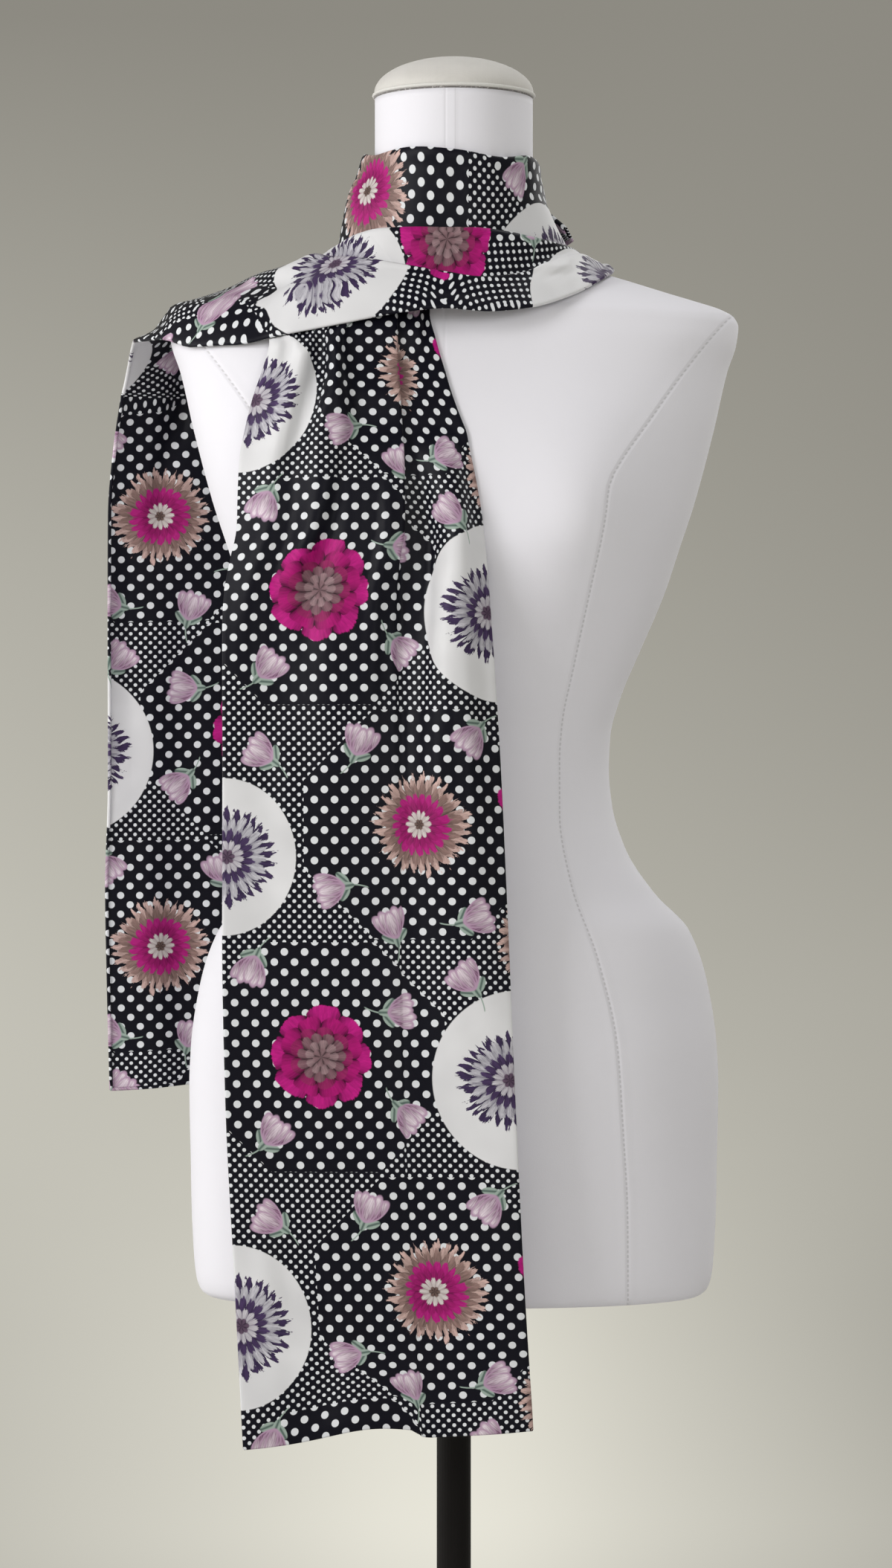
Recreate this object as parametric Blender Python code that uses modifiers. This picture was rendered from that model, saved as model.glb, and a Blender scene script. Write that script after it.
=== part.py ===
"""A long silk scarf wound round the neck of a limbless dress form on a pole stand.

Metres, +Z up. The origin is the centre of the stand's underside, on the floor. The form
faces -Y. One end of the scarf hangs down the form's front, left of centre as seen from the
front. The other end crosses the neck, goes over the form's right shoulder (at -X) and hangs
down behind it.
"""

import math

import bmesh
import bpy
import numpy as np

# Scarf: one long strip of silk, wound as it lies.
SCARF_WIDTH = 0.186
WALL = 0.0010
LAYER = 0.0024  # from the middle of one layer to the middle of the next one in a fold
SEAM_GAP = 0.0003
CLEAR_OF_FORM = 0.0013

# Stand
POLE_RADIUS = 0.0115
BASE_RADIUS = 0.190
BASE_EDGE = 0.006
BASE_CROWN = 0.012
HUB_RADIUS = 0.022
HUB_TOP = 0.024

# Neck: the line that the turns of the scarf go round.
NECK_AXIS_Y = -0.004
CAP_RADIUS = 0.0535
CAP_DEPTH_SHARE = 1.07
CAP_RISE = 0.0275
CAP_RIM = 0.004

# Bust of a general dressmaking figure
BUST_X = 0.088
BUST_HEIGHT = 1.292
BUST_RISE = 0.022
BUST_SPREAD_X = 0.048
BUST_SPREAD_Z = 0.056

AROUND_FORM = 32

# The form's level sections, from the bottom up. squareness 2 is an ellipse.
FORM_COLUMNS = ("height", "half_width", "front", "back", "squareness")
FORM_SECTIONS = (
    (0.7690, 0.1560, -0.082, 0.088, 2.3),
    (0.7705, 0.1650, -0.091, 0.097, 2.3),
    (0.7760, 0.1710, -0.096, 0.102, 2.3),
    (0.7850, 0.1735, -0.098, 0.104, 2.3),
    (0.8010, 0.1750, -0.099, 0.106, 2.3),
    (0.8340, 0.1765, -0.101, 0.110, 2.3),
    (0.8600, 0.1770, -0.103, 0.114, 2.3),
    (0.9110, 0.1780, -0.106, 0.118, 2.3),
    (0.9360, 0.1770, -0.107, 0.118, 2.3),
    (0.9770, 0.1710, -0.107, 0.112, 2.2),
    (1.0150, 0.1580, -0.105, 0.102, 2.2),
    (1.0400, 0.1345, -0.101, 0.094, 2.2),
    (1.0700, 0.1150, -0.095, 0.086, 2.2),
    (1.1000, 0.1060, -0.091, 0.080, 2.2),
    (1.1230, 0.1040, -0.090, 0.078, 2.2),
    (1.1450, 0.1050, -0.092, 0.078, 2.2),
    (1.1700, 0.1115, -0.098, 0.081, 2.2),
    (1.2000, 0.1240, -0.106, 0.086, 2.2),
    (1.2400, 0.1410, -0.115, 0.093, 2.3),
    (1.2700, 0.1510, -0.118, 0.098, 2.4),
    (1.3000, 0.1610, -0.115, 0.102, 2.5),
    (1.3500, 0.1745, -0.106, 0.103, 2.6),
    (1.3900, 0.1840, -0.091, 0.099, 2.6),
    (1.4080, 0.1900, -0.084, 0.095, 2.6),
    (1.4200, 0.1915, -0.079, 0.092, 2.5),
    (1.4260, 0.1890, -0.077, 0.090, 2.4),
    (1.4310, 0.1810, -0.074, 0.088, 2.3),
    (1.4360, 0.1660, -0.072, 0.086, 2.2),
    (1.4430, 0.1430, -0.069, 0.083, 2.1),
    (1.4500, 0.1200, -0.066, 0.079, 2.1),
    (1.4570, 0.0960, -0.064, 0.075, 2.0),
    (1.4640, 0.0760, -0.063, 0.070, 2.0),
    (1.4720, 0.0630, -0.062, 0.066, 2.0),
    (1.4850, 0.0570, -0.061, 0.060, 2.0),
    (1.5050, 0.0540, -0.061, 0.054, 2.0),
    (1.5400, 0.0530, -0.063, 0.051, 2.0),
    (1.5720, 0.0530, -0.064, 0.050, 2.0),
)

# The turn that lies on the neck, folded double along its top edge. Angles run clockwise
# seen from above: 0 is +X, -90 the front, -180 -X and -270 the back.
INNER_COLUMNS = (
    "angle", "top_radius", "top_height", "waist_radius", "waist_height",
    "foot_radius", "foot_height",
)
INNER_SECTIONS = (
    (66, 0.0595, 1.5285, 0.0655, 1.4980, 0.0765, 1.4730),
    (38, 0.0580, 1.5270, 0.0645, 1.4980, 0.0780, 1.4690),
    (0, 0.0565, 1.5270, 0.0640, 1.4980, 0.0780, 1.4690),
    (-30, 0.0580, 1.5295, 0.0625, 1.4980, 0.0730, 1.4600),
    (-60, 0.0595, 1.5260, 0.0610, 1.4950, 0.0680, 1.4520),
    (-90, 0.0610, 1.5300, 0.0615, 1.4930, 0.0690, 1.4480),
    (-120, 0.0610, 1.5325, 0.0640, 1.4950, 0.0725, 1.4520),
    (-150, 0.0600, 1.5305, 0.0690, 1.5000, 0.0765, 1.4620),
    (-180, 0.0605, 1.5345, 0.0715, 1.5050, 0.0780, 1.4700),
    (-200, 0.0602, 1.5330, 0.0700, 1.5020, 0.0790, 1.4700),
    (-215, 0.0600, 1.5315, 0.0690, 1.5000, 0.0850, 1.4660),
    (-228, 0.0600, 1.5310, 0.0685, 1.4990, 0.0925, 1.4640),
    (-240, 0.0600, 1.5305, 0.0680, 1.4980, 0.0925, 1.4640),
    (-258, 0.0600, 1.5300, 0.0670, 1.4980, 0.0880, 1.4690),
    (-270, 0.0598, 1.5300, 0.0665, 1.4985, 0.0830, 1.4730),
    (-282, 0.0596, 1.5295, 0.0665, 1.4985, 0.0785, 1.4785),
    (-294, 0.0596, 1.5285, 0.0672, 1.4980, 0.0780, 1.4775),
    (-310, 0.0596, 1.5225, 0.0672, 1.4970, 0.0778, 1.4760),
    (-325, 0.0620, 1.5090, 0.0680, 1.4920, 0.0768, 1.4760),
    (-340, 0.0662, 1.4970, 0.0706, 1.4870, 0.0756, 1.4775),
    (-352, 0.0710, 1.4880, 0.0734, 1.4835, 0.0758, 1.4790),
)
INNER_FLAP = 0.052
INNER_STATIONS = 37
INNER_OVERLAP_FROM = -258
INNER_OVERLAP_FULL = -292
INNER_OVERLAP_STEP = 2 * LAYER + 0.0008

# The turn that crosses the front and goes out along the shoulder. top is the fold of its
# upper edge, crease the fold of the pleat below it, hem its lower edge.
OUTER_COLUMNS = (
    "angle", "top_radius", "top_height", "crease_radius", "crease_height",
    "drape_radius", "drape_height", "hem_radius", "hem_height",
    "overlap", "step", "flap",
)
OUTER_SECTIONS = (
    (118, 0.0780, 1.4685, 0.0825, 1.4640, 0.0872, 1.4582, 0.0918, 1.4520, -0.0016, 0.0003, 0.009),
    (108, 0.0785, 1.4680, 0.0830, 1.4630, 0.0880, 1.4570, 0.0930, 1.4500, -0.0016, 0.0003, 0.009),
    (95, 0.0815, 1.4690, 0.0875, 1.4620, 0.0920, 1.4550, 0.0970, 1.4470, -0.004, 0.0012, 0.013),
    (80, 0.0850, 1.4725, 0.0905, 1.4640, 0.0950, 1.4560, 0.1000, 1.4470, -0.003, 0.0030, 0.016),
    (60, 0.0880, 1.4740, 0.0930, 1.4655, 0.0980, 1.4570, 0.1030, 1.4490, -0.003, 0.0030, 0.014),
    (30, 0.0870, 1.4700, 0.0920, 1.4660, 0.0975, 1.4620, 0.1030, 1.4575, -0.003, 0.0016, 0.010),
    (0, 0.0848, 1.4690, 0.0900, 1.4662, 0.0965, 1.4635, 0.1045, 1.4595, -0.002, 0.0012, 0.010),
    (-8, 0.0840, 1.4690, 0.0900, 1.4660, 0.0985, 1.4615, 0.1075, 1.4565, -0.002, 0.0014, 0.010),
    (-20, 0.0825, 1.4700, 0.0900, 1.4655, 0.0995, 1.4580, 0.1080, 1.4515, -0.002, 0.0020, 0.012),
    (-41, 0.0775, 1.4725, 0.0860, 1.4575, 0.0950, 1.4470, 0.1030, 1.4360, 0.002, 0.0045, 0.020),
    (-60, 0.0720, 1.4760, 0.0850, 1.4480, 0.0920, 1.4370, 0.0990, 1.4260, 0.007, 0.0050, 0.024),
    (-78, 0.0695, 1.4780, 0.0835, 1.4450, 0.0900, 1.4340, 0.0965, 1.4225, 0.009, 0.0050, 0.026),
    (-93, 0.0695, 1.4780, 0.0825, 1.4480, 0.0895, 1.4370, 0.0970, 1.4240, 0.009, 0.0050, 0.026),
    (-112, 0.0730, 1.4785, 0.0855, 1.4530, 0.0980, 1.4370, 0.1045, 1.4205, 0.009, 0.0050, 0.024),
    (-127, 0.0780, 1.4785, 0.0905, 1.4570, 0.1085, 1.4375, 0.1180, 1.4150, 0.008, 0.0050, 0.022),
    (-143, 0.0815, 1.4760, 0.0940, 1.4600, 0.1230, 1.4385, 0.1400, 1.4080, 0.006, 0.0050, 0.018),
    (-156, 0.0830, 1.4720, 0.0960, 1.4610, 0.1320, 1.4370, 0.1585, 1.4030, 0.001, 0.0046, 0.010),
    (-165, 0.0845, 1.4700, 0.1000, 1.4590, 0.1460, 1.4360, 0.1790, 1.4035, -0.006, 0.0015, 0.010),
    (-174, 0.0855, 1.4690, 0.1050, 1.4580, 0.1580, 1.4390, 0.1960, 1.4110, -0.012, 0.0004, 0.007),
    (-184, 0.0865, 1.4690, 0.1060, 1.4590, 0.1620, 1.4380, 0.2160, 1.4130, -0.014, 0.0000, 0.005),
)
OUTER_STATIONS = 38
SHOULDER_FROM = -148  # past this angle the band rounds the end of the form's shoulder
SHOULDER_LIFT = 0.0022

# The end that hangs down the front: its edges and the fold of its knife pleat, how far
# forward it hangs, how far its edges fall back, how far the pleat is turned under and how
# deep it is.
FRONT_COLUMNS = ("height", "left", "fold", "right", "depth", "bow", "turn", "pleat")
FRONT_SECTIONS = (
    (1.4300, -0.1215, -0.0400, -0.0170, -0.0830, 0.014, 176, 0.020),
    (1.4200, -0.1200, -0.0395, -0.0170, -0.0875, 0.014, 176, 0.020),
    (1.4030, -0.1205, -0.0390, -0.0130, -0.0955, 0.013, 176, 0.020),
    (1.3850, -0.1245, -0.0382, -0.0080, -0.1020, 0.012, 176, 0.0185),
    (1.3670, -0.1300, -0.0370, -0.0020, -0.1115, 0.013, 176, 0.0165),
    (1.3450, -0.1350, -0.0358, 0.0060, -0.1180, 0.013, 176, 0.013),
    (1.3250, -0.1385, -0.0345, 0.0105, -0.1245, 0.014, 172, 0.009),
    (1.3030, -0.1395, -0.0342, 0.0150, -0.1295, 0.015, 155, 0.006),
    (1.2800, -0.1400, -0.0345, 0.0185, -0.1330, 0.015, 125, 0.004),
    (1.2570, -0.1445, -0.0385, 0.0208, -0.1345, 0.014, 92, 0.003),
    (1.2370, -0.1480, -0.0415, 0.0224, -0.1350, 0.012, 66, 0.002),
    (1.2140, -0.1490, -0.0424, 0.0240, -0.1352, 0.010, 44, 0.002),
    (1.1130, -0.1485, -0.0412, 0.0300, -0.1355, 0.007, 18, 0.002),
    (1.0120, -0.1485, -0.0408, 0.0345, -0.1360, 0.005, 0, 0.002),
    (0.9110, -0.1465, -0.0388, 0.0386, -0.1365, 0.004, 0, 0.002),
    (0.8100, -0.1415, -0.0338, 0.0434, -0.1370, 0.004, 0, 0.002),
    (0.6910, -0.1350, -0.0273, 0.0502, -0.1375, 0.004, 0, 0.002),
)
FRONT_ROWS = 32
PLEAT_AT = 0.108  # along the strip's width, from the edge at -X
PLEAT_BEND = 0.0054  # length of cloth in each of the pleat's two bends
PLEAT_STEP = 0.0065  # how far behind its left side the pleat's right side lies
RIGHT_BOW = 0.35
STEEPEST_FOLD = 1.15
UNDER_BAND = 0.0034
HEM_DROP = 0.013  # how much lower the hem's corner at -X hangs

# Soft folds of the hanging front end, fanning out from the neck.
FOLD_COLUMNS = ("at_top", "at_bottom", "top_height", "bottom_height", "spread", "strength")
FRONT_FOLDS = (
    (0.070, 0.046, 1.450, 1.270, 0.0085, 1.00),
    (0.034, 0.018, 1.450, 1.240, 0.0085, 0.95),
    (0.052, 0.072, 1.450, 1.340, 0.0045, 0.70),
    (0.010, 0.006, 1.450, 1.370, 0.0060, 0.80),
    (0.174, 0.164, 1.450, 1.130, 0.0080, 1.00),
    (0.158, 0.140, 1.330, 1.100, 0.0110, 0.90),
)
WAVES_ACROSS = 2.2  # faint waves that are left where the folds have faded

# The end that hangs down behind, from the shoulder's ridge down.
BACK_COLUMNS = ("height", "left", "right", "depth", "bow")
BACK_SECTIONS = (
    (1.3800, -0.2290, -0.0580, 0.1040, 0.020),
    (1.3440, -0.2350, -0.0560, 0.1130, 0.018),
    (1.3000, -0.2390, -0.0545, 0.1170, 0.015),
    (1.2000, -0.2396, -0.0540, 0.1190, 0.010),
    (1.1150, -0.2396, -0.0540, 0.1200, 0.008),
    (1.0390, -0.2416, -0.0560, 0.1205, 0.006),
    (0.9780, -0.2406, -0.0550, 0.1210, 0.005),
    (0.9000, -0.2386, -0.0530, 0.1215, 0.005),
)
BACK_ROWS = 22
BACK_ACROSS = 21
BACK_PLEAT_X = -0.1870
BACK_PLEAT_SPREAD = 0.0090
BACK_PLEAT_DEPTH = 0.0080
BACK_PLEAT_BOTTOM = 1.330
BACK_SHOULDER_ROWS = 8

# Materials: name, colour, roughness, metallic
SILK = ("silk", (0.035, 0.034, 0.045), 0.42, 0.0)
COVER = ("form_cover", (0.86, 0.85, 0.86), 0.80, 0.0)
CAP_CLOTH = ("cap_cloth", (0.80, 0.78, 0.74), 0.80, 0.0)
BLACK_METAL = ("black_metal", (0.012, 0.011, 0.011), 0.45, 0.6)


def clear_scene():
    for obj in list(bpy.data.objects):
        bpy.data.objects.remove(obj)


def smooth(where, keys, values):
    """Values between rows of a table, on a curve with no overshoot."""
    keys, values = np.asarray(keys, float), np.asarray(values, float)
    if keys[0] > keys[-1]:
        keys, values = keys[::-1], values[::-1]
    gaps = np.diff(keys)
    slopes = np.diff(values) / gaps
    tangents = np.zeros(len(keys))
    tangents[0], tangents[-1] = slopes[0], slopes[-1]
    same_way = slopes[:-1] * slopes[1:] > 0
    inner = np.zeros(len(slopes) - 1)
    first, second = 2 * gaps[1:] + gaps[:-1], gaps[1:] + 2 * gaps[:-1]
    pairs = np.where(same_way, slopes[:-1], 1), np.where(same_way, slopes[1:], 1)
    mean = (first + second) / (first / pairs[0] + second / pairs[1])
    inner[same_way] = mean[same_way]
    tangents[1:-1] = inner
    where = np.clip(where, keys[0], keys[-1])
    i = np.clip(np.searchsorted(keys, where) - 1, 0, len(gaps) - 1)
    t = (where - keys[i]) / gaps[i]
    low, high = values[i], values[i + 1]
    rise, fall = tangents[i] * gaps[i], tangents[i + 1] * gaps[i]
    return (
        low * (1 + 2 * t) * (1 - t) ** 2
        + rise * t * (1 - t) ** 2
        + high * t**2 * (3 - 2 * t)
        + fall * t**2 * (t - 1)
    )


def row_at(columns, rows, where):
    """The table's row at a key between its rows, as a dict of its named columns."""
    keys = [row[0] for row in rows]
    found = {columns[0]: where}
    for k, name in enumerate(columns[1:], 1):
        found[name] = smooth(where, keys, [row[k] for row in rows])
    return found


def ease(share):
    share = np.clip(share, 0, 1)
    return share * share * (3 - 2 * share)


def bust(x, z):
    across = (np.abs(x) - BUST_X) / BUST_SPREAD_X
    up = (z - BUST_HEIGHT) / BUST_SPREAD_Z
    return BUST_RISE * np.exp(-(across**2) - up**2)


def form_field(points):
    """Under 1 inside the form, 1 on its surface and more outside it."""
    x, y, z = points[..., 0], points[..., 1], points[..., 2]
    section = row_at(FORM_COLUMNS, FORM_SECTIONS, z)
    middle = (section["front"] + section["back"]) / 2
    half_depth = (section["back"] - section["front"]) / 2
    half_depth = half_depth + np.where(y < middle, bust(x, z), 0)
    power = section["squareness"]
    across = np.abs(x / section["half_width"]) ** power
    deep = np.abs((y - middle) / half_depth) ** power
    return (across + deep) ** (1 / power)


def off_form(points, clearance):
    """The points, with those nearer the form's surface than clearance moved out."""
    points = np.array(points, float)
    nudge = 0.0004
    for _ in range(6):
        value = form_field(points)
        slope = np.stack(
            [
                form_field(points + nudge * axis) - form_field(points - nudge * axis)
                for axis in np.eye(3)
            ],
            axis=-1,
        ) / (2 * nudge)
        steep = np.maximum(np.linalg.norm(slope, axis=-1), 1e-6)
        short = np.clip(clearance - (value - 1) / steep, 0, 0.006)
        points += (short / steep)[..., None] * slope
    return points


def material(look):
    name, colour, roughness, metallic = look
    made = bpy.data.materials.get(name) or bpy.data.materials.new(name)
    made.use_nodes = True
    shader = made.node_tree.nodes["Principled BSDF"]
    shader.inputs["Base Color"].default_value = (*colour, 1)
    shader.inputs["Roughness"].default_value = roughness
    shader.inputs["Metallic"].default_value = metallic
    return made


def add_object(name, mesh, look):
    obj = bpy.data.objects.new(name, mesh)
    obj.data.materials.append(material(look))
    obj.data.shade_smooth()
    collection.objects.link(obj)
    return obj


def loft(name, rings, look):
    """A closed body through level rings, with flat ends."""
    mesh = bpy.data.meshes.new(name)
    bm = bmesh.new()
    rows = [[bm.verts.new(point) for point in ring] for ring in rings]
    count = len(rows[0])
    for lower, upper in zip(rows, rows[1:]):
        for i in range(count):
            j = (i + 1) % count
            bm.faces.new((lower[i], lower[j], upper[j], upper[i]))
    bm.faces.new(rows[0][::-1])
    bm.faces.new(rows[-1])
    bmesh.ops.recalc_face_normals(bm, faces=bm.faces)
    bm.to_mesh(mesh)
    bm.free()
    return add_object(name, mesh, look)


def cloth(name, grid):
    """A wall of cloth whose middle is a grid of points."""
    mesh = bpy.data.meshes.new(name)
    bm = bmesh.new()
    rows = [[bm.verts.new(point) for point in row] for row in grid]
    for one, other in zip(rows, rows[1:]):
        for i in range(len(one) - 1):
            bm.faces.new((one[i], other[i], other[i + 1], one[i + 1]))
    bm.to_mesh(mesh)
    bm.free()
    obj = add_object(name, mesh, SILK)
    wall = obj.modifiers.new("wall", "SOLIDIFY")
    wall.thickness = WALL
    wall.offset = 0
    wall.use_even_offset = True
    return obj


def turned(name, profile, look, steps=36):
    """A body turned about +Z from (radius, height) points that start and end on the axis."""
    mesh = bpy.data.meshes.new(name)
    points = [(radius, 0, height) for radius, height in profile]
    mesh.from_pydata(points, [(i, i + 1) for i in range(len(points) - 1)], [])
    obj = add_object(name, mesh, look)
    screw = obj.modifiers.new("turn", "SCREW")
    screw.steps = screw.render_steps = steps
    screw.use_merge_vertices = True
    screw.merge_threshold = 0.0001
    return obj


def form_ring(height):
    section = row_at(FORM_COLUMNS, FORM_SECTIONS, height)
    middle = (section["front"] + section["back"]) / 2
    half_depth = (section["back"] - section["front"]) / 2
    turns = np.linspace(0, 2 * math.pi, AROUND_FORM, endpoint=False)
    power = 2 / section["squareness"]
    x = section["half_width"] * np.sign(np.cos(turns)) * np.abs(np.cos(turns)) ** power
    deep = half_depth + np.where(np.sin(turns) < 0, bust(x, height), 0)
    y = middle + deep * np.sign(np.sin(turns)) * np.abs(np.sin(turns)) ** power
    return [(a, b, height) for a, b in zip(x, y)]


def make_form():
    heights = [row[0] for row in FORM_SECTIONS]
    between = [1.2850, 1.3200, 1.3700]
    loft("form_body", [form_ring(z) for z in sorted(heights + between)], COVER)


def make_cap():
    top = FORM_SECTIONS[-1]
    dome = [
        (CAP_RADIUS * math.cos(turn), CAP_RIM + (CAP_RISE - CAP_RIM) * math.sin(turn))
        for turn in np.linspace(math.pi / 2, 0, 9)
    ]
    dome[0] = (0, CAP_RISE)
    profile = dome + [(CAP_RADIUS + 0.0006, CAP_RIM / 2), (CAP_RADIUS - 0.0006, 0), (0, 0)]
    cap = turned("form_neck_cap", profile, CAP_CLOTH, steps=28)
    cap.location = (0, (top[2] + top[3]) / 2, top[0] + SEAM_GAP)
    cap.scale = (1, CAP_DEPTH_SHARE, 1)


def make_stand():
    hub = [
        (0, HUB_TOP),
        (HUB_RADIUS - 0.003, HUB_TOP),
        (HUB_RADIUS, HUB_TOP - 0.003),
        (HUB_RADIUS, BASE_CROWN + 0.004),
        (HUB_RADIUS + 0.006, BASE_CROWN),
        (BASE_RADIUS * 0.6, BASE_CROWN - 0.002),
        (BASE_RADIUS - 0.004, BASE_EDGE + 0.002),
        (BASE_RADIUS, BASE_EDGE - 0.001),
        (BASE_RADIUS, 0.0015),
        (BASE_RADIUS - 0.0015, 0),
        (0, 0),
    ]
    turned("stand_base", hub, BLACK_METAL)
    top = FORM_SECTIONS[0][0] - SEAM_GAP
    bottom = HUB_TOP + SEAM_GAP
    bpy.ops.mesh.primitive_cylinder_add(
        vertices=32, radius=POLE_RADIUS, depth=top - bottom,
        location=(0, 0, (top + bottom) / 2),
    )
    pole = bpy.context.object
    pole.name = "stand_pole"
    pole.data.materials.append(material(BLACK_METAL))
    for other in pole.users_collection:
        other.objects.unlink(pole)
    collection.objects.link(pole)


def curve_through(points, count, start=0.0, end=1.0):
    """Points along a smooth curve through a few (radius, height) points."""
    points = np.asarray(points, float)
    steps = np.linalg.norm(np.diff(points, axis=0), axis=1)
    along = np.concatenate([[0], np.cumsum(steps)]) / steps.sum()
    at = np.linspace(start, end, count)
    return np.stack([smooth(at, along, points[:, k]) for k in range(2)], axis=1)


def outward(line):
    """Unit normals of a profile that runs down and out, pointing out and up."""
    along = np.gradient(line, axis=0)
    normal = np.stack([-along[:, 1], along[:, 0]], axis=1)
    return normal / np.linalg.norm(normal, axis=1)[:, None]


def bend(start, end, bulge, count):
    """Points on a half-round fold from start to end, on bulge's side, without its ends."""
    middle, half = (start + end) / 2, (end - start) / 2
    turns = np.linspace(0, math.pi, count + 2)[1:-1]
    reach = np.linalg.norm(half)
    return [middle - half * math.cos(t) + bulge * reach * math.sin(t) for t in turns]


def placed(angle, profile):
    """A (radius, height) profile stood at an angle round the neck's axis."""
    turn = math.radians(angle)
    return [
        (r * math.cos(turn), NECK_AXIS_Y + r * math.sin(turn), z) for r, z in profile
    ]


def base_line(angle, rails, under):
    """A smooth profile through the rails, clear of the form by under at each place."""
    line = curve_through(rails, len(under))
    turn = math.radians(angle)
    x, y, z = off_form(placed(angle, line), CLEAR_OF_FORM + under).T
    radius = x * math.cos(turn) + (y - NECK_AXIS_Y) * math.sin(turn)
    return np.stack([radius, z], axis=1)


def length_of(line):
    return np.linalg.norm(np.diff(line, axis=0), axis=1).sum()


def stretch(line, start, end, count):
    """Points between two lengths along a profile, and the profile's normals there."""
    steps = np.linalg.norm(np.diff(line, axis=0), axis=1)
    along = np.concatenate([[0], np.cumsum(steps)])
    at = np.linspace(start, end, count)
    normals = outward(line)
    points = np.stack([np.interp(at, along, line[:, k]) for k in range(2)], axis=1)
    normal = np.stack([np.interp(at, along, normals[:, k]) for k in range(2)], axis=1)
    return points, normal / np.linalg.norm(normal, axis=1)[:, None]


def with_flap(upper, normal, length, count):
    """The fold along a band's upper edge, and the flap that it turns in behind."""
    flap, flap_normal = stretch(upper, 0, length, count)
    flap = flap - LAYER * flap_normal
    up = np.array([normal[0][1], -normal[0][0]]) * -1
    if up[1] < 0:
        up = -up
    return [*flap[::-1], *bend(flap[0], upper[0], up, 2)]


def inner_profile(angle):
    """From the inside of the turn's flap, up to its top fold, and down to its foot."""
    row = row_at(INNER_COLUMNS, INNER_SECTIONS, angle)
    rails = [
        (row["top_radius"], row["top_height"]),
        (row["waist_radius"], row["waist_height"]),
        (row["foot_radius"], row["foot_height"]),
    ]
    full = INNER_OVERLAP_FROM - INNER_OVERLAP_FULL
    step = INNER_OVERLAP_STEP * ease((INNER_OVERLAP_FROM - angle) / full)
    under = np.where(np.linspace(0, 1, 21) < 0.85, LAYER, 0.0004) + WALL / 2
    line = base_line(angle, rails, under) + [step, 0]
    length = length_of(line)
    upper, normal = stretch(line, 0, length, 9)
    return [*with_flap(upper, normal, min(INNER_FLAP, 0.8 * length), 6), *upper]


def make_inner_turn():
    first, last = INNER_SECTIONS[0][0], INNER_SECTIONS[-1][0]
    grid = []
    for angle in np.linspace(first, last, INNER_STATIONS):
        grid.append(placed(angle, inner_profile(angle)))
    cloth("scarf_inner_turn", grid)


def outer_profile(angle):
    """From the inside of the flap, over the top fold, round the pleat, to the hem."""
    row = row_at(OUTER_COLUMNS, OUTER_SECTIONS, angle)
    rails = [
        (row[name + "_radius"], row[name + "_height"])
        for name in ("top", "crease", "drape", "hem")
    ]
    spans = np.linalg.norm(np.diff(np.asarray(rails), axis=0), axis=1)
    share = np.linspace(0, 1, 31)
    crease_share = spans[0] / spans.sum()
    tucked = 1 - ease((share - crease_share - 0.1) / 0.35)
    lift = SHOULDER_LIFT * ease((SHOULDER_FROM - angle) / 12)
    under = WALL / 2 + 0.0006 + tucked * (row["step"] + LAYER) + lift
    line = base_line(angle, rails, under)
    length = length_of(line)
    crease = length * crease_share
    fold = min(crease + row["overlap"], 0.98 * length)
    step = row["step"]

    upper, normal = stretch(line, 0, fold, 8)
    upper = upper - (step * ease(np.linspace(0, 1.15, 8)))[:, None] * normal
    inset = (fold - crease) / 4
    back, back_normal = stretch(line, fold - inset, crease + inset, 3)
    spread = 0.3 * (1 - ease((fold - crease) / 0.004))
    depths = step * (0.5 + spread * np.array([1, 0, -1]))
    back = back - depths[:, None] * back_normal
    lower, _ = stretch(line, crease, length, 9)
    flap = with_flap(upper, normal, min(row["flap"], 0.8 * crease, 0.85 * fold), 5)
    return [*flap, *upper, *back, *lower]


def make_outer_turn():
    first, last = OUTER_SECTIONS[0][0], OUTER_SECTIONS[-1][0]
    grid = [
        placed(angle, outer_profile(angle))
        for angle in np.linspace(first, last, OUTER_STATIONS)
    ]
    cloth("scarf_outer_turn", grid)


def pleat_bends(at, pleat):
    """How far the pleat has turned the cloth under, from 0 to 1, across the strip."""
    second = PLEAT_AT + PLEAT_BEND + pleat
    return ease((at - PLEAT_AT) / PLEAT_BEND) - ease((at - second) / PLEAT_BEND)


def fold_headings(at, height, turn, pleat):
    """How the soft folds turn the cloth, in radians, across the strip."""
    heading = np.zeros_like(at)
    for row in FRONT_FOLDS:
        fold = dict(zip(FOLD_COLUMNS, row))
        down = (fold["top_height"] - height) / (fold["top_height"] - fold["bottom_height"])
        place = fold["at_top"] + (fold["at_bottom"] - fold["at_top"]) * np.clip(down, 0, 1.15)
        off = (at - place) / fold["spread"]
        fading = (1 - ease((down - 0.6) / 0.9)) * ease(down * 4 + 0.5)
        heading += fold["strength"] * fading * off * np.exp(0.5 - off**2 / 2)
    faint = np.sin(2 * math.pi * WAVES_ACROSS * at / SCARF_WIDTH + 0.6)
    heading += 0.35 * faint * ease((1.40 - height) / 0.2)
    # The layers of the pleat lie flat on each other.
    near = pleat + 0.008
    first, last = PLEAT_AT - near, PLEAT_AT + 2 * PLEAT_BEND + pleat + near
    layered = ease((at - first + 0.006) / 0.006) * ease((last + 0.006 - at) / 0.006)
    return heading * (1 - layered * ease((turn - 30) / 60))


def bounded(heading):
    return STEEPEST_FOLD * np.tanh(heading / STEEPEST_FOLD)


def taken_up(heading, step, wanted):
    """The strength of the folds at which this stretch is as wide as wanted."""
    low, high = 0.0, 3.0
    for _ in range(30):
        strength = (low + high) / 2
        if np.cos(bounded(strength * heading)).sum() * step > wanted:
            low = strength
        else:
            high = strength
    return low


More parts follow.
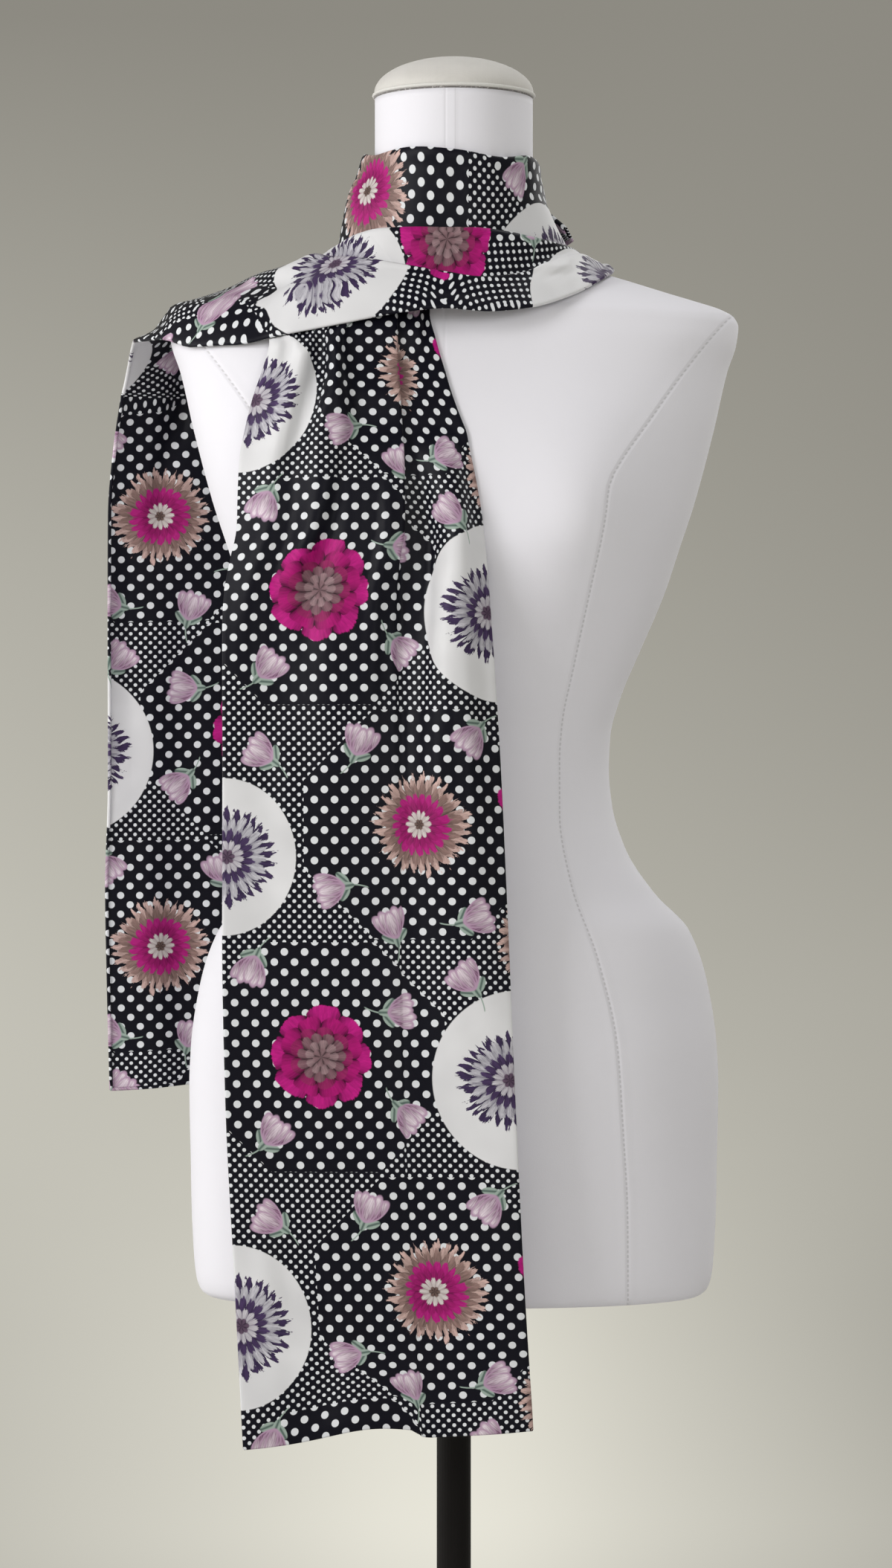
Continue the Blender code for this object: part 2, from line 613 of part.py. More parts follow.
def front_row(height):
    row = row_at(FRONT_COLUMNS, FRONT_SECTIONS, height)
    fine = np.linspace(0, SCARF_WIDTH, 1241)
    step = fine[1] - fine[0]
    pleat = math.radians(row["turn"]) * pleat_bends(fine, row["pleat"])
    folds = fold_headings(fine, height, row["turn"], row["pleat"])
    last = PLEAT_AT + 2 * PLEAT_BEND + row["pleat"]
    before, after = fine < PLEAT_AT, fine > last
    between = ~before & ~after
    pleat_width = np.cos(pleat[between]).sum() * step
    left = taken_up(folds[before], step, row["fold"] - row["left"])
    right = taken_up(folds[after], step, row["right"] - row["fold"] - pleat_width)
    share = ease((fine - PLEAT_AT) / (last - PLEAT_AT))
    heading = pleat + bounded(folds * (left + (right - left) * share))
    x = row["left"] + np.concatenate([[0], np.cumsum(np.cos(heading[:-1]) * step)])
    deep = np.concatenate([[0], np.cumsum(np.sin(heading[:-1]) * step)])
    # Beyond the pleat's own step, the cloth ends as far back as it began.
    drift = deep[-1] - PLEAT_STEP * ease(row["turn"] / 150)
    across = (x - row["left"]) / (row["right"] - row["left"]) * 2 - 1
    bow = row["bow"] * np.where(across < 0, 1, RIGHT_BOW)
    y = row["depth"] + deep - drift * fine / SCARF_WIDTH
    y = y + bow * np.clip(across, -1.1, 1.1) ** 2
    drop = HEM_DROP * ease((0.80 - height) / 0.12) * (1 - 2 * fine / SCARF_WIDTH) / 2
    at = across_front(row["pleat"])
    return np.stack(
        [np.interp(at, fine, x), np.interp(at, fine, y), height - np.interp(at, fine, drop)],
        axis=1,
    )


def across_front(pleat):
    """Places across the strip, closer together in the pleat's bends."""
    second = PLEAT_AT + PLEAT_BEND + pleat
    last = second + PLEAT_BEND
    return np.concatenate(
        [
            np.linspace(0, PLEAT_AT, 23),
            np.linspace(PLEAT_AT, PLEAT_AT + PLEAT_BEND, 5)[1:],
            np.linspace(PLEAT_AT + PLEAT_BEND, second, 4)[1:],
            np.linspace(second, last, 5)[1:],
            np.linspace(last, SCARF_WIDTH, 10)[1:],
        ]
    )


def under_band(points):
    """The points of the front end's top, pressed in behind the band that crosses it."""
    x, y, z = points.T
    for _ in range(5):
        turn = np.degrees(np.arctan2(y - NECK_AXIS_Y, x))
        band = row_at(OUTER_COLUMNS, OUTER_SECTIONS, turn)
        span = band["drape_height"] - band["hem_height"]
        share = (band["drape_height"] - z) / span
        radius = band["drape_radius"] + (band["hem_radius"] - band["drape_radius"]) * share
        room = radius - UNDER_BAND + 0.6 * np.clip(band["hem_height"] - z, 0, 0.1)
        limit = NECK_AXIS_Y - np.sqrt(np.clip(room**2 - x**2, 0, 1))
        y = np.maximum(y, limit)
    return np.stack([x, y, z], axis=1)


def make_front_end():
    top, bottom = FRONT_SECTIONS[0][0], FRONT_SECTIONS[-1][0]
    share = np.linspace(0, 1, FRONT_ROWS) ** 1.35
    heights = top - (top - bottom) * share
    grid = [under_band(front_row(z)) for z in heights]
    cloth("scarf_front_end", off_form(grid, CLEAR_OF_FORM + WALL))


def back_pleat(x, height):
    """How far the pleat beside the arm's end stands back from the rest."""
    off = (x - BACK_PLEAT_X) / BACK_PLEAT_SPREAD
    fading = ease((height - BACK_PLEAT_BOTTOM) / 0.05)
    return BACK_PLEAT_DEPTH * fading * np.exp(-(off**2))


def make_back_end():
    """Takes up the outer turn's last profile on the shoulder and lets it fall behind."""
    last = OUTER_SECTIONS[-1][0]
    # Only the stretch from the top fold to the hem goes on down the back.
    ridge = np.asarray(placed(last, outer_profile(last)))[7:]
    steps = np.linalg.norm(np.diff(ridge, axis=0), axis=1)
    along = np.concatenate([[0], np.cumsum(steps)]) / steps.sum()
    across = np.linspace(0, 1, BACK_ACROSS)
    first = np.stack([np.interp(across, along, ridge[:, k]) for k in range(3)], axis=1)
    top, bottom = BACK_SECTIONS[0][0], BACK_SECTIONS[-1][0]
    rows = []
    for height in np.linspace(top, bottom, BACK_ROWS - BACK_SHOULDER_ROWS):
        row = row_at(BACK_COLUMNS, BACK_SECTIONS, height)
        x = row["right"] + (row["left"] - row["right"]) * across
        y = row["depth"] - row["bow"] * (2 * across - 1) ** 2 + back_pleat(x, height)
        rows.append(np.stack([x, y, np.full_like(x, height)], axis=1))
    hanging = rows[0]
    grid = []
    for share in np.linspace(0, 1, BACK_SHOULDER_ROWS + 1)[:-1]:
        turn = share * math.pi / 2
        back, down = math.sin(turn), 1 - math.cos(turn)
        point = np.empty_like(first)
        point[:, 0] = first[:, 0] + (hanging[:, 0] - first[:, 0]) * share
        point[:, 1] = first[:, 1] + (hanging[:, 1] - first[:, 1]) * back
        point[:, 2] = first[:, 2] + (hanging[:, 2] - first[:, 2]) * down
        # The first row starts a seam's width behind the outer turn's last one.
        point[:, 1] += (SEAM_GAP + 0.0002) * (1 - share)
        grid.append(point)
    cloth("scarf_back_end", off_form(grid + rows, CLEAR_OF_FORM + 0.0016))


collection = bpy.data.collections.new("scarf_on_dress_form")
bpy.context.scene.collection.children.link(collection)
clear_scene()
make_form()
make_cap()
make_stand()
make_inner_turn()
make_outer_turn()
make_front_end()
make_back_end()
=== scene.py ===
"""The look of a silk scarf wound round a dress form on a pole stand.

Metres, +Z up, the same frame as the CAD part. Each stretch of the scarf is a thin shell on
its solid's form, made from the same tables and functions at a finer pitch, with soft creases
laid on it. The print, the weave and the seams are drawn by shader nodes from coordinates
that the meshes carry in the flat cloth's own lengths. The tables of sections and creases are
written in millimetres.
"""

import math

import bmesh
import bpy
import numpy as np
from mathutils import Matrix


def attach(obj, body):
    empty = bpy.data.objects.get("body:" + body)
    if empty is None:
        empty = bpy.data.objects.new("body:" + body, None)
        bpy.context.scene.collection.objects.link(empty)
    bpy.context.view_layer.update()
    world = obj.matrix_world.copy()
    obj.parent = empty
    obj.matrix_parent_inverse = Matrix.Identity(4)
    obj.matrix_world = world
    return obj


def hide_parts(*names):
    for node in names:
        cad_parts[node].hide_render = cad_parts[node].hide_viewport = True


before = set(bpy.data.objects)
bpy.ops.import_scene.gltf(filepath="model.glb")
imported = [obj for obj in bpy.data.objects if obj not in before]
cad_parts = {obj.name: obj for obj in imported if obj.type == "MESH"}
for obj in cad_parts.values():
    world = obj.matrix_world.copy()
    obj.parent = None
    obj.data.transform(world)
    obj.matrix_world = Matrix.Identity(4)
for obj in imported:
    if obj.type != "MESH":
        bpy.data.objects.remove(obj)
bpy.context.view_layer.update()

# Scarf: one long strip of silk, wound as it lies.
SCARF_WIDTH = 0.186
WALL = 0.0010
LAYER = 0.0024  # from the middle of one layer to the middle of the next one in a fold
SEAM_GAP = 0.0003
CLEAR_OF_FORM = 0.0013
NUDGE = 0.0004  # step for the slope of the form's field
MOST_PUSHED = 0.006  # out of the form, in one round


def metres(plain, *rows):
    """A table written in mm, in metres, but for the columns in plain."""
    return [
        tuple(v if k in plain else round(v / 1000, 7) for k, v in enumerate(row))
        for row in rows
    ]


# Neck: the line that the turns of the scarf go round.
NECK_AXIS_Y = -0.004
CAP_RADIUS = 0.0535
CAP_DEPTH_SHARE = 1.07
CAP_RISE = 0.0275
CAP_RIM = 0.004

# Bust of a general dressmaking figure
BUST_X = 0.088
BUST_HEIGHT = 1.292
BUST_RISE = 0.022
BUST_SPREAD_X = 0.048
BUST_SPREAD_Z = 0.056

# The form's level sections, from the bottom up. squareness 2 is an ellipse.
FORM_COLUMNS = ("height", "half_width", "front", "back", "squareness")
FORM_SECTIONS = metres(
    (4,),
    (769, 156, -82, 88, 2.3), (770.5, 165, -91, 97, 2.3), (776, 171, -96, 102, 2.3),
    (785, 173.5, -98, 104, 2.3), (801, 175, -99, 106, 2.3), (834, 176.5, -101, 110, 2.3),
    (860, 177, -103, 114, 2.3), (911, 178, -106, 118, 2.3), (936, 177, -107, 118, 2.3),
    (977, 171, -107, 112, 2.2), (1015, 158, -105, 102, 2.2), (1040, 134.5, -101, 94, 2.2),
    (1070, 115, -95, 86, 2.2), (1100, 106, -91, 80, 2.2), (1123, 104, -90, 78, 2.2),
    (1145, 105, -92, 78, 2.2), (1170, 111.5, -98, 81, 2.2), (1200, 124, -106, 86, 2.2),
    (1240, 141, -115, 93, 2.3), (1270, 151, -118, 98, 2.4), (1300, 161, -115, 102, 2.5),
    (1350, 174.5, -106, 103, 2.6), (1390, 184, -91, 99, 2.6), (1408, 190, -84, 95, 2.6),
    (1420, 191.5, -79, 92, 2.5), (1426, 189, -77, 90, 2.4), (1431, 181, -74, 88, 2.3),
    (1436, 166, -72, 86, 2.2), (1443, 143, -69, 83, 2.1), (1450, 120, -66, 79, 2.1),
    (1457, 96, -64, 75, 2), (1464, 76, -63, 70, 2), (1472, 63, -62, 66, 2),
    (1485, 57, -61, 60, 2), (1505, 54, -61, 54, 2), (1540, 53, -63, 51, 2),
    (1572, 53, -64, 50, 2),
)

# The turn that lies on the neck, folded double along its top edge. Angles run clockwise
# seen from above: 0 is +X, -90 the front, -180 -X and -270 the back.
INNER_COLUMNS = (
    "angle", "top_radius", "top_height", "waist_radius", "waist_height",
    "foot_radius", "foot_height",
)
INNER_SECTIONS = metres(
    (0,),
    (66, 59.5, 1528.5, 65.5, 1498, 76.5, 1473), (38, 58, 1527, 64.5, 1498, 78, 1469),
    (0, 56.5, 1527, 64, 1498, 78, 1469), (-30, 58, 1529.5, 62.5, 1498, 73, 1460),
    (-60, 59.5, 1526, 61, 1495, 68, 1452), (-90, 61, 1530, 61.5, 1493, 69, 1448),
    (-120, 61, 1532.5, 64, 1495, 72.5, 1452), (-150, 60, 1530.5, 69, 1500, 76.5, 1462),
    (-180, 60.5, 1534.5, 71.5, 1505, 78, 1470), (-200, 60.2, 1533, 70, 1502, 79, 1470),
    (-215, 60, 1531.5, 69, 1500, 85, 1466), (-228, 60, 1531, 68.5, 1499, 92.5, 1464),
    (-240, 60, 1530.5, 68, 1498, 92.5, 1464), (-258, 60, 1530, 67, 1498, 88, 1469),
    (-270, 59.8, 1530, 66.5, 1498.5, 83, 1473), (-282, 59.6, 1529.5, 66.5, 1498.5, 78.5, 1478.5),
    (-294, 59.6, 1528.5, 67.2, 1498, 78, 1477.5), (-310, 59.6, 1522.5, 67.2, 1497, 77.8, 1476),
    (-325, 62, 1509, 68, 1492, 76.8, 1476), (-340, 66.2, 1497, 70.6, 1487, 75.6, 1477.5),
    (-352, 71, 1488, 73.4, 1483.5, 75.8, 1479),
)
INNER_FLAP = 0.052
INNER_STATIONS = 37
INNER_OVERLAP_FROM = -258
INNER_OVERLAP_FULL = -292
INNER_OVERLAP_STEP = 2 * LAYER + 0.0008

# The turn that crosses the front and goes out along the shoulder. top is the fold of its
# upper edge, crease the fold of the pleat below it, hem its lower edge.
OUTER_COLUMNS = (
    "angle", "top_radius", "top_height", "crease_radius", "crease_height",
    "drape_radius", "drape_height", "hem_radius", "hem_height",
    "overlap", "step", "flap",
)
OUTER_SECTIONS = metres(
    (0,),
    (118, 78, 1468.5, 82.5, 1464, 87.2, 1458.2, 91.8, 1452, -1.6, 0.3, 9),
    (108, 78.5, 1468, 83, 1463, 88, 1457, 93, 1450, -1.6, 0.3, 9),
    (95, 81.5, 1469, 87.5, 1462, 92, 1455, 97, 1447, -4, 1.2, 13),
    (80, 85, 1472.5, 90.5, 1464, 95, 1456, 100, 1447, -3, 3, 16),
    (60, 88, 1474, 93, 1465.5, 98, 1457, 103, 1449, -3, 3, 14),
    (30, 87, 1470, 92, 1466, 97.5, 1462, 103, 1457.5, -3, 1.6, 10),
    (0, 84.8, 1469, 90, 1466.2, 96.5, 1463.5, 104.5, 1459.5, -2, 1.2, 10),
    (-8, 84, 1469, 90, 1466, 98.5, 1461.5, 107.5, 1456.5, -2, 1.4, 10),
    (-20, 82.5, 1470, 90, 1465.5, 99.5, 1458, 108, 1451.5, -2, 2, 12),
    (-41, 77.5, 1472.5, 86, 1457.5, 95, 1447, 103, 1436, 2, 4.5, 20),
    (-60, 72, 1476, 85, 1448, 92, 1437, 99, 1426, 7, 5, 24),
    (-78, 69.5, 1478, 83.5, 1445, 90, 1434, 96.5, 1422.5, 9, 5, 26),
    (-93, 69.5, 1478, 82.5, 1448, 89.5, 1437, 97, 1424, 9, 5, 26),
    (-112, 73, 1478.5, 85.5, 1453, 98, 1437, 104.5, 1420.5, 9, 5, 24),
    (-127, 78, 1478.5, 90.5, 1457, 108.5, 1437.5, 118, 1415, 8, 5, 22),
    (-143, 81.5, 1476, 94, 1460, 123, 1438.5, 140, 1408, 6, 5, 18),
    (-156, 83, 1472, 96, 1461, 132, 1437, 158.5, 1403, 1, 4.6, 10),
    (-165, 84.5, 1470, 100, 1459, 146, 1436, 179, 1403.5, -6, 1.5, 10),
    (-174, 85.5, 1469, 105, 1458, 158, 1439, 196, 1411, -12, 0.4, 7),
    (-184, 86.5, 1469, 106, 1459, 162, 1438, 216, 1413, -14, 0, 5),
)
OUTER_STATIONS = 38
SHOULDER_FROM = -148  # past this angle the band rounds the end of the form's shoulder
SHOULDER_LIFT = 0.0022

# The end that hangs down the front: its edges and the fold of its knife pleat, how far
# forward it hangs, how far its edges fall back, how far the pleat is turned under and how
# deep it is.
FRONT_COLUMNS = ("height", "left", "fold", "right", "depth", "bow", "turn", "pleat")
FRONT_SECTIONS = metres(
    (6,),
    (1430, -121.5, -40, -17, -83, 14, 176, 20), (1420, -120, -39.5, -17, -87.5, 14, 176, 20),
    (1403, -120.5, -39, -13, -95.5, 13, 176, 20), (1385, -124.5, -38.2, -8, -102, 12, 176, 18.5),
    (1367, -130, -37, -2, -111.5, 13, 176, 16.5), (1345, -135, -35.8, 6, -118, 13, 176, 13),
    (1325, -138.5, -34.5, 10.5, -124.5, 14, 172, 9), (1303, -139.5, -34.2, 15, -129.5, 15, 155, 6),
    (1280, -140, -34.5, 18.5, -133, 15, 125, 4), (1257, -144.5, -38.5, 20.8, -134.5, 14, 92, 3),
    (1237, -148, -41.5, 22.4, -135, 12, 66, 2), (1214, -149, -42.4, 24, -135.2, 10, 44, 2),
    (1113, -148.5, -41.2, 30, -135.5, 7, 18, 2), (1012, -148.5, -40.8, 34.5, -136, 5, 0, 2),
    (911, -146.5, -38.8, 38.6, -136.5, 4, 0, 2), (810, -141.5, -33.8, 43.4, -137, 4, 0, 2),
    (691, -135, -27.3, 50.2, -137.5, 4, 0, 2),
)
FRONT_ROWS = 32
PLEAT_AT = 0.108  # along the strip's width, from the edge at -X
PLEAT_BEND = 0.0054  # length of cloth in each of the pleat's two bends
PLEAT_STEP = 0.0065  # how far behind its left side the pleat's right side lies
RIGHT_BOW = 0.35
STEEPEST_FOLD = 1.15
UNDER_BAND = 0.0034
HEM_DROP = 0.013  # how much lower the hem's corner at -X hangs

# Soft folds of the hanging front end, fanning out from the neck: place across the strip
# at the top and at the bottom, height of the top and of the bottom, spread, strength.
FRONT_FOLDS = metres(
    (5,),
    (70, 46, 1450, 1270, 8.5, 1), (34, 18, 1450, 1240, 8.5, 0.95),
    (52, 72, 1450, 1340, 4.5, 0.7), (10, 6, 1450, 1370, 6, 0.8),
    (174, 164, 1450, 1130, 8, 1), (158, 140, 1330, 1100, 11, 0.9),
)
WAVES_ACROSS = 2.2  # faint waves that are left where the folds have faded

# The end that hangs down behind, from the shoulder's ridge down.
BACK_COLUMNS = ("height", "left", "right", "depth", "bow")
BACK_SECTIONS = metres(
    (),
    (1380, -229, -58, 104, 20), (1344, -235, -56, 113, 18),
    (1300, -239, -54.5, 117, 15), (1200, -239.6, -54, 119, 10),
    (1115, -239.6, -54, 120, 8), (1039, -241.6, -56, 120.5, 6),
    (978, -240.6, -55, 121, 5), (900, -238.6, -53, 121.5, 5),
)
BACK_ROWS = 22
BACK_ACROSS = 21
BACK_PLEAT_X = -0.1870
BACK_PLEAT_SPREAD = 0.0090
BACK_PLEAT_DEPTH = 0.0080
BACK_PLEAT_BOTTOM = 1.330
BACK_SHOULDER_ROWS = 8


def hermite(t, low, high, rise, fall):
    """The cubic from low to high that leaves with slope rise and arrives with fall."""
    return (
        low * (1 + 2 * t) * (1 - t) ** 2
        + rise * t * (1 - t) ** 2
        + high * t**2 * (3 - 2 * t)
        + fall * t**2 * (t - 1)
    )


def smooth(where, keys, values):
    """Values between rows of a table, on a curve with no overshoot."""
    keys, values = np.asarray(keys, float), np.asarray(values, float)
    if keys[0] > keys[-1]:
        keys, values = keys[::-1], values[::-1]
    gaps = np.diff(keys)
    slopes = np.diff(values) / gaps
    tangents = np.zeros(len(keys))
    tangents[0], tangents[-1] = slopes[0], slopes[-1]
    same_way = slopes[:-1] * slopes[1:] > 0
    first, second = 2 * gaps[1:] + gaps[:-1], gaps[1:] + 2 * gaps[:-1]
    pairs = np.where(same_way, slopes[:-1], 1), np.where(same_way, slopes[1:], 1)
    mean = (first + second) / (first / pairs[0] + second / pairs[1])
    tangents[1:-1] = np.where(same_way, mean, 0)
    where = np.clip(where, keys[0], keys[-1])
    i = np.clip(np.searchsorted(keys, where) - 1, 0, len(gaps) - 1)
    t = (where - keys[i]) / gaps[i]
    rise, fall = tangents[i] * gaps[i], tangents[i + 1] * gaps[i]
    return hermite(t, values[i], values[i + 1], rise, fall)


def row_at(columns, rows, where):
    """The table's row at a key between its rows, as a dict of its named columns."""
    keys, *values = zip(*rows)
    return {name: smooth(where, keys, column) for name, column in zip(columns[1:], values)}


def ease(share):
    share = np.clip(share, 0, 1)
    return share * share * (3 - 2 * share)


def bust(x, z):
    across = (np.abs(x) - BUST_X) / BUST_SPREAD_X
    up = (z - BUST_HEIGHT) / BUST_SPREAD_Z
    return BUST_RISE * np.exp(-(across**2) - up**2)


def form_section(z):
    """Half the form's width at a height, its squareness, its middle and half its depth."""
    row = row_at(FORM_COLUMNS, FORM_SECTIONS, z)
    front, back = row["front"], row["back"]
    return row["half_width"], row["squareness"], (front + back) / 2, (back - front) / 2


def form_field(points):
    """Under 1 inside the form, 1 on its surface and more outside it."""
    x, y, z = points[..., 0], points[..., 1], points[..., 2]
    half_width, power, middle, half_depth = form_section(z)
    half_depth = half_depth + np.where(y < middle, bust(x, z), 0)
    across, deep = np.abs(x / half_width) ** power, np.abs((y - middle) / half_depth) ** power
    return (across + deep) ** (1 / power)


def off_form(points, clearance):
    """The points, with those nearer the form's surface than clearance moved out."""
    points = np.array(points, float)
    steps = NUDGE * np.eye(3)
    for _ in range(6):
        value = form_field(points)
        slope = [form_field(points + step) - form_field(points - step) for step in steps]
        slope = np.stack(slope, axis=-1) / (2 * NUDGE)
        steep = np.maximum(np.linalg.norm(slope, axis=-1), 1e-6)
        short = np.clip(clearance - (value - 1) / steep, 0, MOST_PUSHED)
        points += (short / steep)[..., None] * slope
    return points


def steps_of(grid, axis=0):
    """The distances between neighbouring points along an axis."""
    return np.linalg.norm(np.diff(grid, axis=axis), axis=-1)


def running(steps):
    """The sum of the steps up to each point, from 0."""
    return np.concatenate([[0], np.cumsum(steps)])


def shares(line):
    """How far along the line each of its points is, from 0 to 1."""
    steps = steps_of(line)
    return running(steps) / steps.sum()


def columns_at(at, along, line):
    """The line's points at places along it."""
    return np.stack([np.interp(at, along, column) for column in line.T], axis=1)


def curve_through(points, count):
    """Points along a smooth curve through a few (radius, height) points."""
    along, at = shares(points), np.linspace(0, 1, count)
    return np.stack([smooth(at, along, column) for column in zip(*points)], axis=1)


def outward(line):
    """Unit normals of a profile that runs down and out, pointing out and up."""
    along = np.gradient(line, axis=0)
    normal = np.stack([-along[:, 1], along[:, 0]], axis=1)
    return normal / np.linalg.norm(normal, axis=1)[:, None]


def bend(start, end, bulge, count):
    """Points on a half-round fold from start to end, on bulge's side, without its ends."""
    middle, half = (start + end) / 2, (end - start) / 2
    turns = np.linspace(0, math.pi, count + 2)[1:-1]
    reach = np.linalg.norm(half)
    return [middle - half * math.cos(t) + bulge * reach * math.sin(t) for t in turns]


def placed(angle, profile):
    """A (radius, height) profile stood at an angle round the neck's axis."""
    turn = math.radians(angle)
    return [
        (r * math.cos(turn), NECK_AXIS_Y + r * math.sin(turn), z) for r, z in profile
    ]


def base_line(angle, rails, under):
    """A smooth profile through the rails, clear of the form by under at each place."""
    line = curve_through(rails, len(under))
    turn = math.radians(angle)
    x, y, z = off_form(placed(angle, line), CLEAR_OF_FORM + under).T
    radius = x * math.cos(turn) + (y - NECK_AXIS_Y) * math.sin(turn)
    return np.stack([radius, z], axis=1)


def stretch(line, start, end, count):
    """Points between two lengths along a profile, and the profile's normals there."""
    along, at = running(steps_of(line)), np.linspace(start, end, count)
    normal = columns_at(at, along, outward(line))
    return columns_at(at, along, line), normal / np.linalg.norm(normal, axis=1)[:, None]


def with_flap(upper, normal, length, count):
    """The fold along a band's upper edge, and the flap that it turns in behind."""
    flap, flap_normal = stretch(upper, 0, length, count)
    flap = flap - LAYER * flap_normal
    up = np.array([-normal[0][1], normal[0][0]])
    return [*flap[::-1], *bend(flap[0], upper[0], up if up[1] >= 0 else -up, 2)]


def rails_of(row, *names):
    """The (radius, height) points of these names in a row of a turn's table."""
    return [(row[name + "_radius"], row[name + "_height"]) for name in names]


def inner_profile(angle):
    """From the inside of the turn's flap, up to its top fold, and down to its foot."""
    rails = rails_of(row_at(INNER_COLUMNS, INNER_SECTIONS, angle), "top", "waist", "foot")
    full = INNER_OVERLAP_FROM - INNER_OVERLAP_FULL
    step = INNER_OVERLAP_STEP * ease((INNER_OVERLAP_FROM - angle) / full)
    under = np.where(np.linspace(0, 1, 21) < 0.85, LAYER, 0.0004) + WALL / 2
    line = base_line(angle, rails, under) + [step, 0]
    length = steps_of(line).sum()
    upper, normal = stretch(line, 0, length, 9)
    return [*with_flap(upper, normal, min(INNER_FLAP, 0.8 * length), 6), *upper]


def outer_profile(angle):
    """From the inside of the flap, over the top fold, round the pleat, to the hem."""
    row = row_at(OUTER_COLUMNS, OUTER_SECTIONS, angle)
    rails = rails_of(row, "top", "crease", "drape", "hem")
    spans, share, step = steps_of(rails), np.linspace(0, 1, 31), row["step"]
    crease_share = spans[0] / spans.sum()
    tucked = 1 - ease((share - crease_share - 0.1) / 0.35)
    lift = SHOULDER_LIFT * ease((SHOULDER_FROM - angle) / 12)
    line = base_line(angle, rails, WALL / 2 + 0.0006 + tucked * (step + LAYER) + lift)
    length = steps_of(line).sum()
    crease = length * crease_share
    fold = min(crease + row["overlap"], 0.98 * length)

    upper, normal = stretch(line, 0, fold, 8)
    upper = upper - (step * ease(np.linspace(0, 1.15, 8)))[:, None] * normal
    inset = (fold - crease) / 4
    back, back_normal = stretch(line, fold - inset, crease + inset, 3)
    spread = 0.3 * (1 - ease((fold - crease) / 0.004))
    depths = step * (0.5 + spread * np.array([1, 0, -1]))
    back = back - depths[:, None] * back_normal
    lower, _ = stretch(line, crease, length, 9)
    flap = with_flap(upper, normal, min(row["flap"], 0.8 * crease, 0.85 * fold), 5)
    return [*flap, *upper, *back, *lower]


def pleat_bends(at, pleat):
    """How far the pleat has turned the cloth under, from 0 to 1, across the strip."""
    second = PLEAT_AT + PLEAT_BEND + pleat
    return ease((at - PLEAT_AT) / PLEAT_BEND) - ease((at - second) / PLEAT_BEND)


def fold_headings(at, height, turn, pleat):
    """How the soft folds turn the cloth, in radians, across the strip."""
    heading = np.zeros_like(at)
    for at_top, at_bottom, top, bottom, spread, strength in FRONT_FOLDS:
        down = (top - height) / (top - bottom)
        place = at_top + (at_bottom - at_top) * np.clip(down, 0, 1.15)
        off = (at - place) / spread
        fading = (1 - ease((down - 0.6) / 0.9)) * ease(down * 4 + 0.5)
        heading += strength * fading * off * np.exp(0.5 - off**2 / 2)
    faint = np.sin(2 * math.pi * WAVES_ACROSS * at / SCARF_WIDTH + 0.6)
    heading += 0.35 * faint * ease((1.40 - height) / 0.2)
    # The layers of the pleat lie flat on each other.
    near = pleat + 0.008
    first, last = PLEAT_AT - near, PLEAT_AT + 2 * PLEAT_BEND + pleat + near
    layered = ease((at - first + 0.006) / 0.006) * ease((last + 0.006 - at) / 0.006)
    return heading * (1 - layered * ease((turn - 30) / 60))


def bounded(heading):
    return STEEPEST_FOLD * np.tanh(heading / STEEPEST_FOLD)


def taken_up(heading, step, wanted):
    """The strength of the folds at which this stretch is as wide as wanted."""
    low, high = 0.0, 3.0
    for _ in range(30):
        strength = (low + high) / 2
        wide = np.cos(bounded(strength * heading)).sum() * step > wanted
        low, high = (strength, high) if wide else (low, strength)
    return low


def front_row(height):
    row = row_at(FRONT_COLUMNS, FRONT_SECTIONS, height)
    fine = np.linspace(0, SCARF_WIDTH, 1241)
    step = fine[1] - fine[0]
    pleat = math.radians(row["turn"]) * pleat_bends(fine, row["pleat"])
    folds = fold_headings(fine, height, row["turn"], row["pleat"])
    last = PLEAT_AT + 2 * PLEAT_BEND + row["pleat"]
    before, after = fine < PLEAT_AT, fine > last
    pleat_width = np.cos(pleat[~before & ~after]).sum() * step
    left = taken_up(folds[before], step, row["fold"] - row["left"])
    right = taken_up(folds[after], step, row["right"] - row["fold"] - pleat_width)
    share = ease((fine - PLEAT_AT) / (last - PLEAT_AT))
    heading = pleat + bounded(folds * (left + (right - left) * share))
    x = row["left"] + running(np.cos(heading[:-1]) * step)
    deep = running(np.sin(heading[:-1]) * step)
    # Beyond the pleat's own step, the cloth ends as far back as it began.
    drift = deep[-1] - PLEAT_STEP * ease(row["turn"] / 150)
    across = (x - row["left"]) / (row["right"] - row["left"]) * 2 - 1
    bow = row["bow"] * np.where(across < 0, 1, RIGHT_BOW)
    y = row["depth"] + deep - drift * fine / SCARF_WIDTH
    y = y + bow * np.clip(across, -1.1, 1.1) ** 2
    drop = HEM_DROP * ease((0.80 - height) / 0.12) * (1 - 2 * fine / SCARF_WIDTH) / 2
    points = columns_at(across_front(row["pleat"]), fine, np.stack([x, y, drop], axis=1))
    points[:, 2] = height - points[:, 2]
    return points


def across_front(pleat):
    """Places across the strip, closer together in the pleat's bends."""
    second = PLEAT_AT + PLEAT_BEND + pleat
    ends = (0, PLEAT_AT, PLEAT_AT + PLEAT_BEND, second, second + PLEAT_BEND, SCARF_WIDTH)
    spans = zip(ends, ends[1:], (23, 5, 4, 5, 10))
    return np.concatenate([[0], *(np.linspace(*span)[1:] for span in spans)])


def under_band(points):
    """The points of the front end's top, pressed in behind the band that crosses it."""
    x, y, z = points.T
    for _ in range(5):
        turn = np.degrees(np.arctan2(y - NECK_AXIS_Y, x))
        band = row_at(OUTER_COLUMNS, OUTER_SECTIONS, turn)
        span = band["drape_height"] - band["hem_height"]
        share = (band["drape_height"] - z) / span
        radius = band["drape_radius"] + (band["hem_radius"] - band["drape_radius"]) * share
        room = radius - UNDER_BAND + 0.6 * np.clip(band["hem_height"] - z, 0, 0.1)
        limit = NECK_AXIS_Y - np.sqrt(np.clip(room**2 - x**2, 0, 1))
        y = np.maximum(y, limit)
    return np.stack([x, y, z], axis=1)


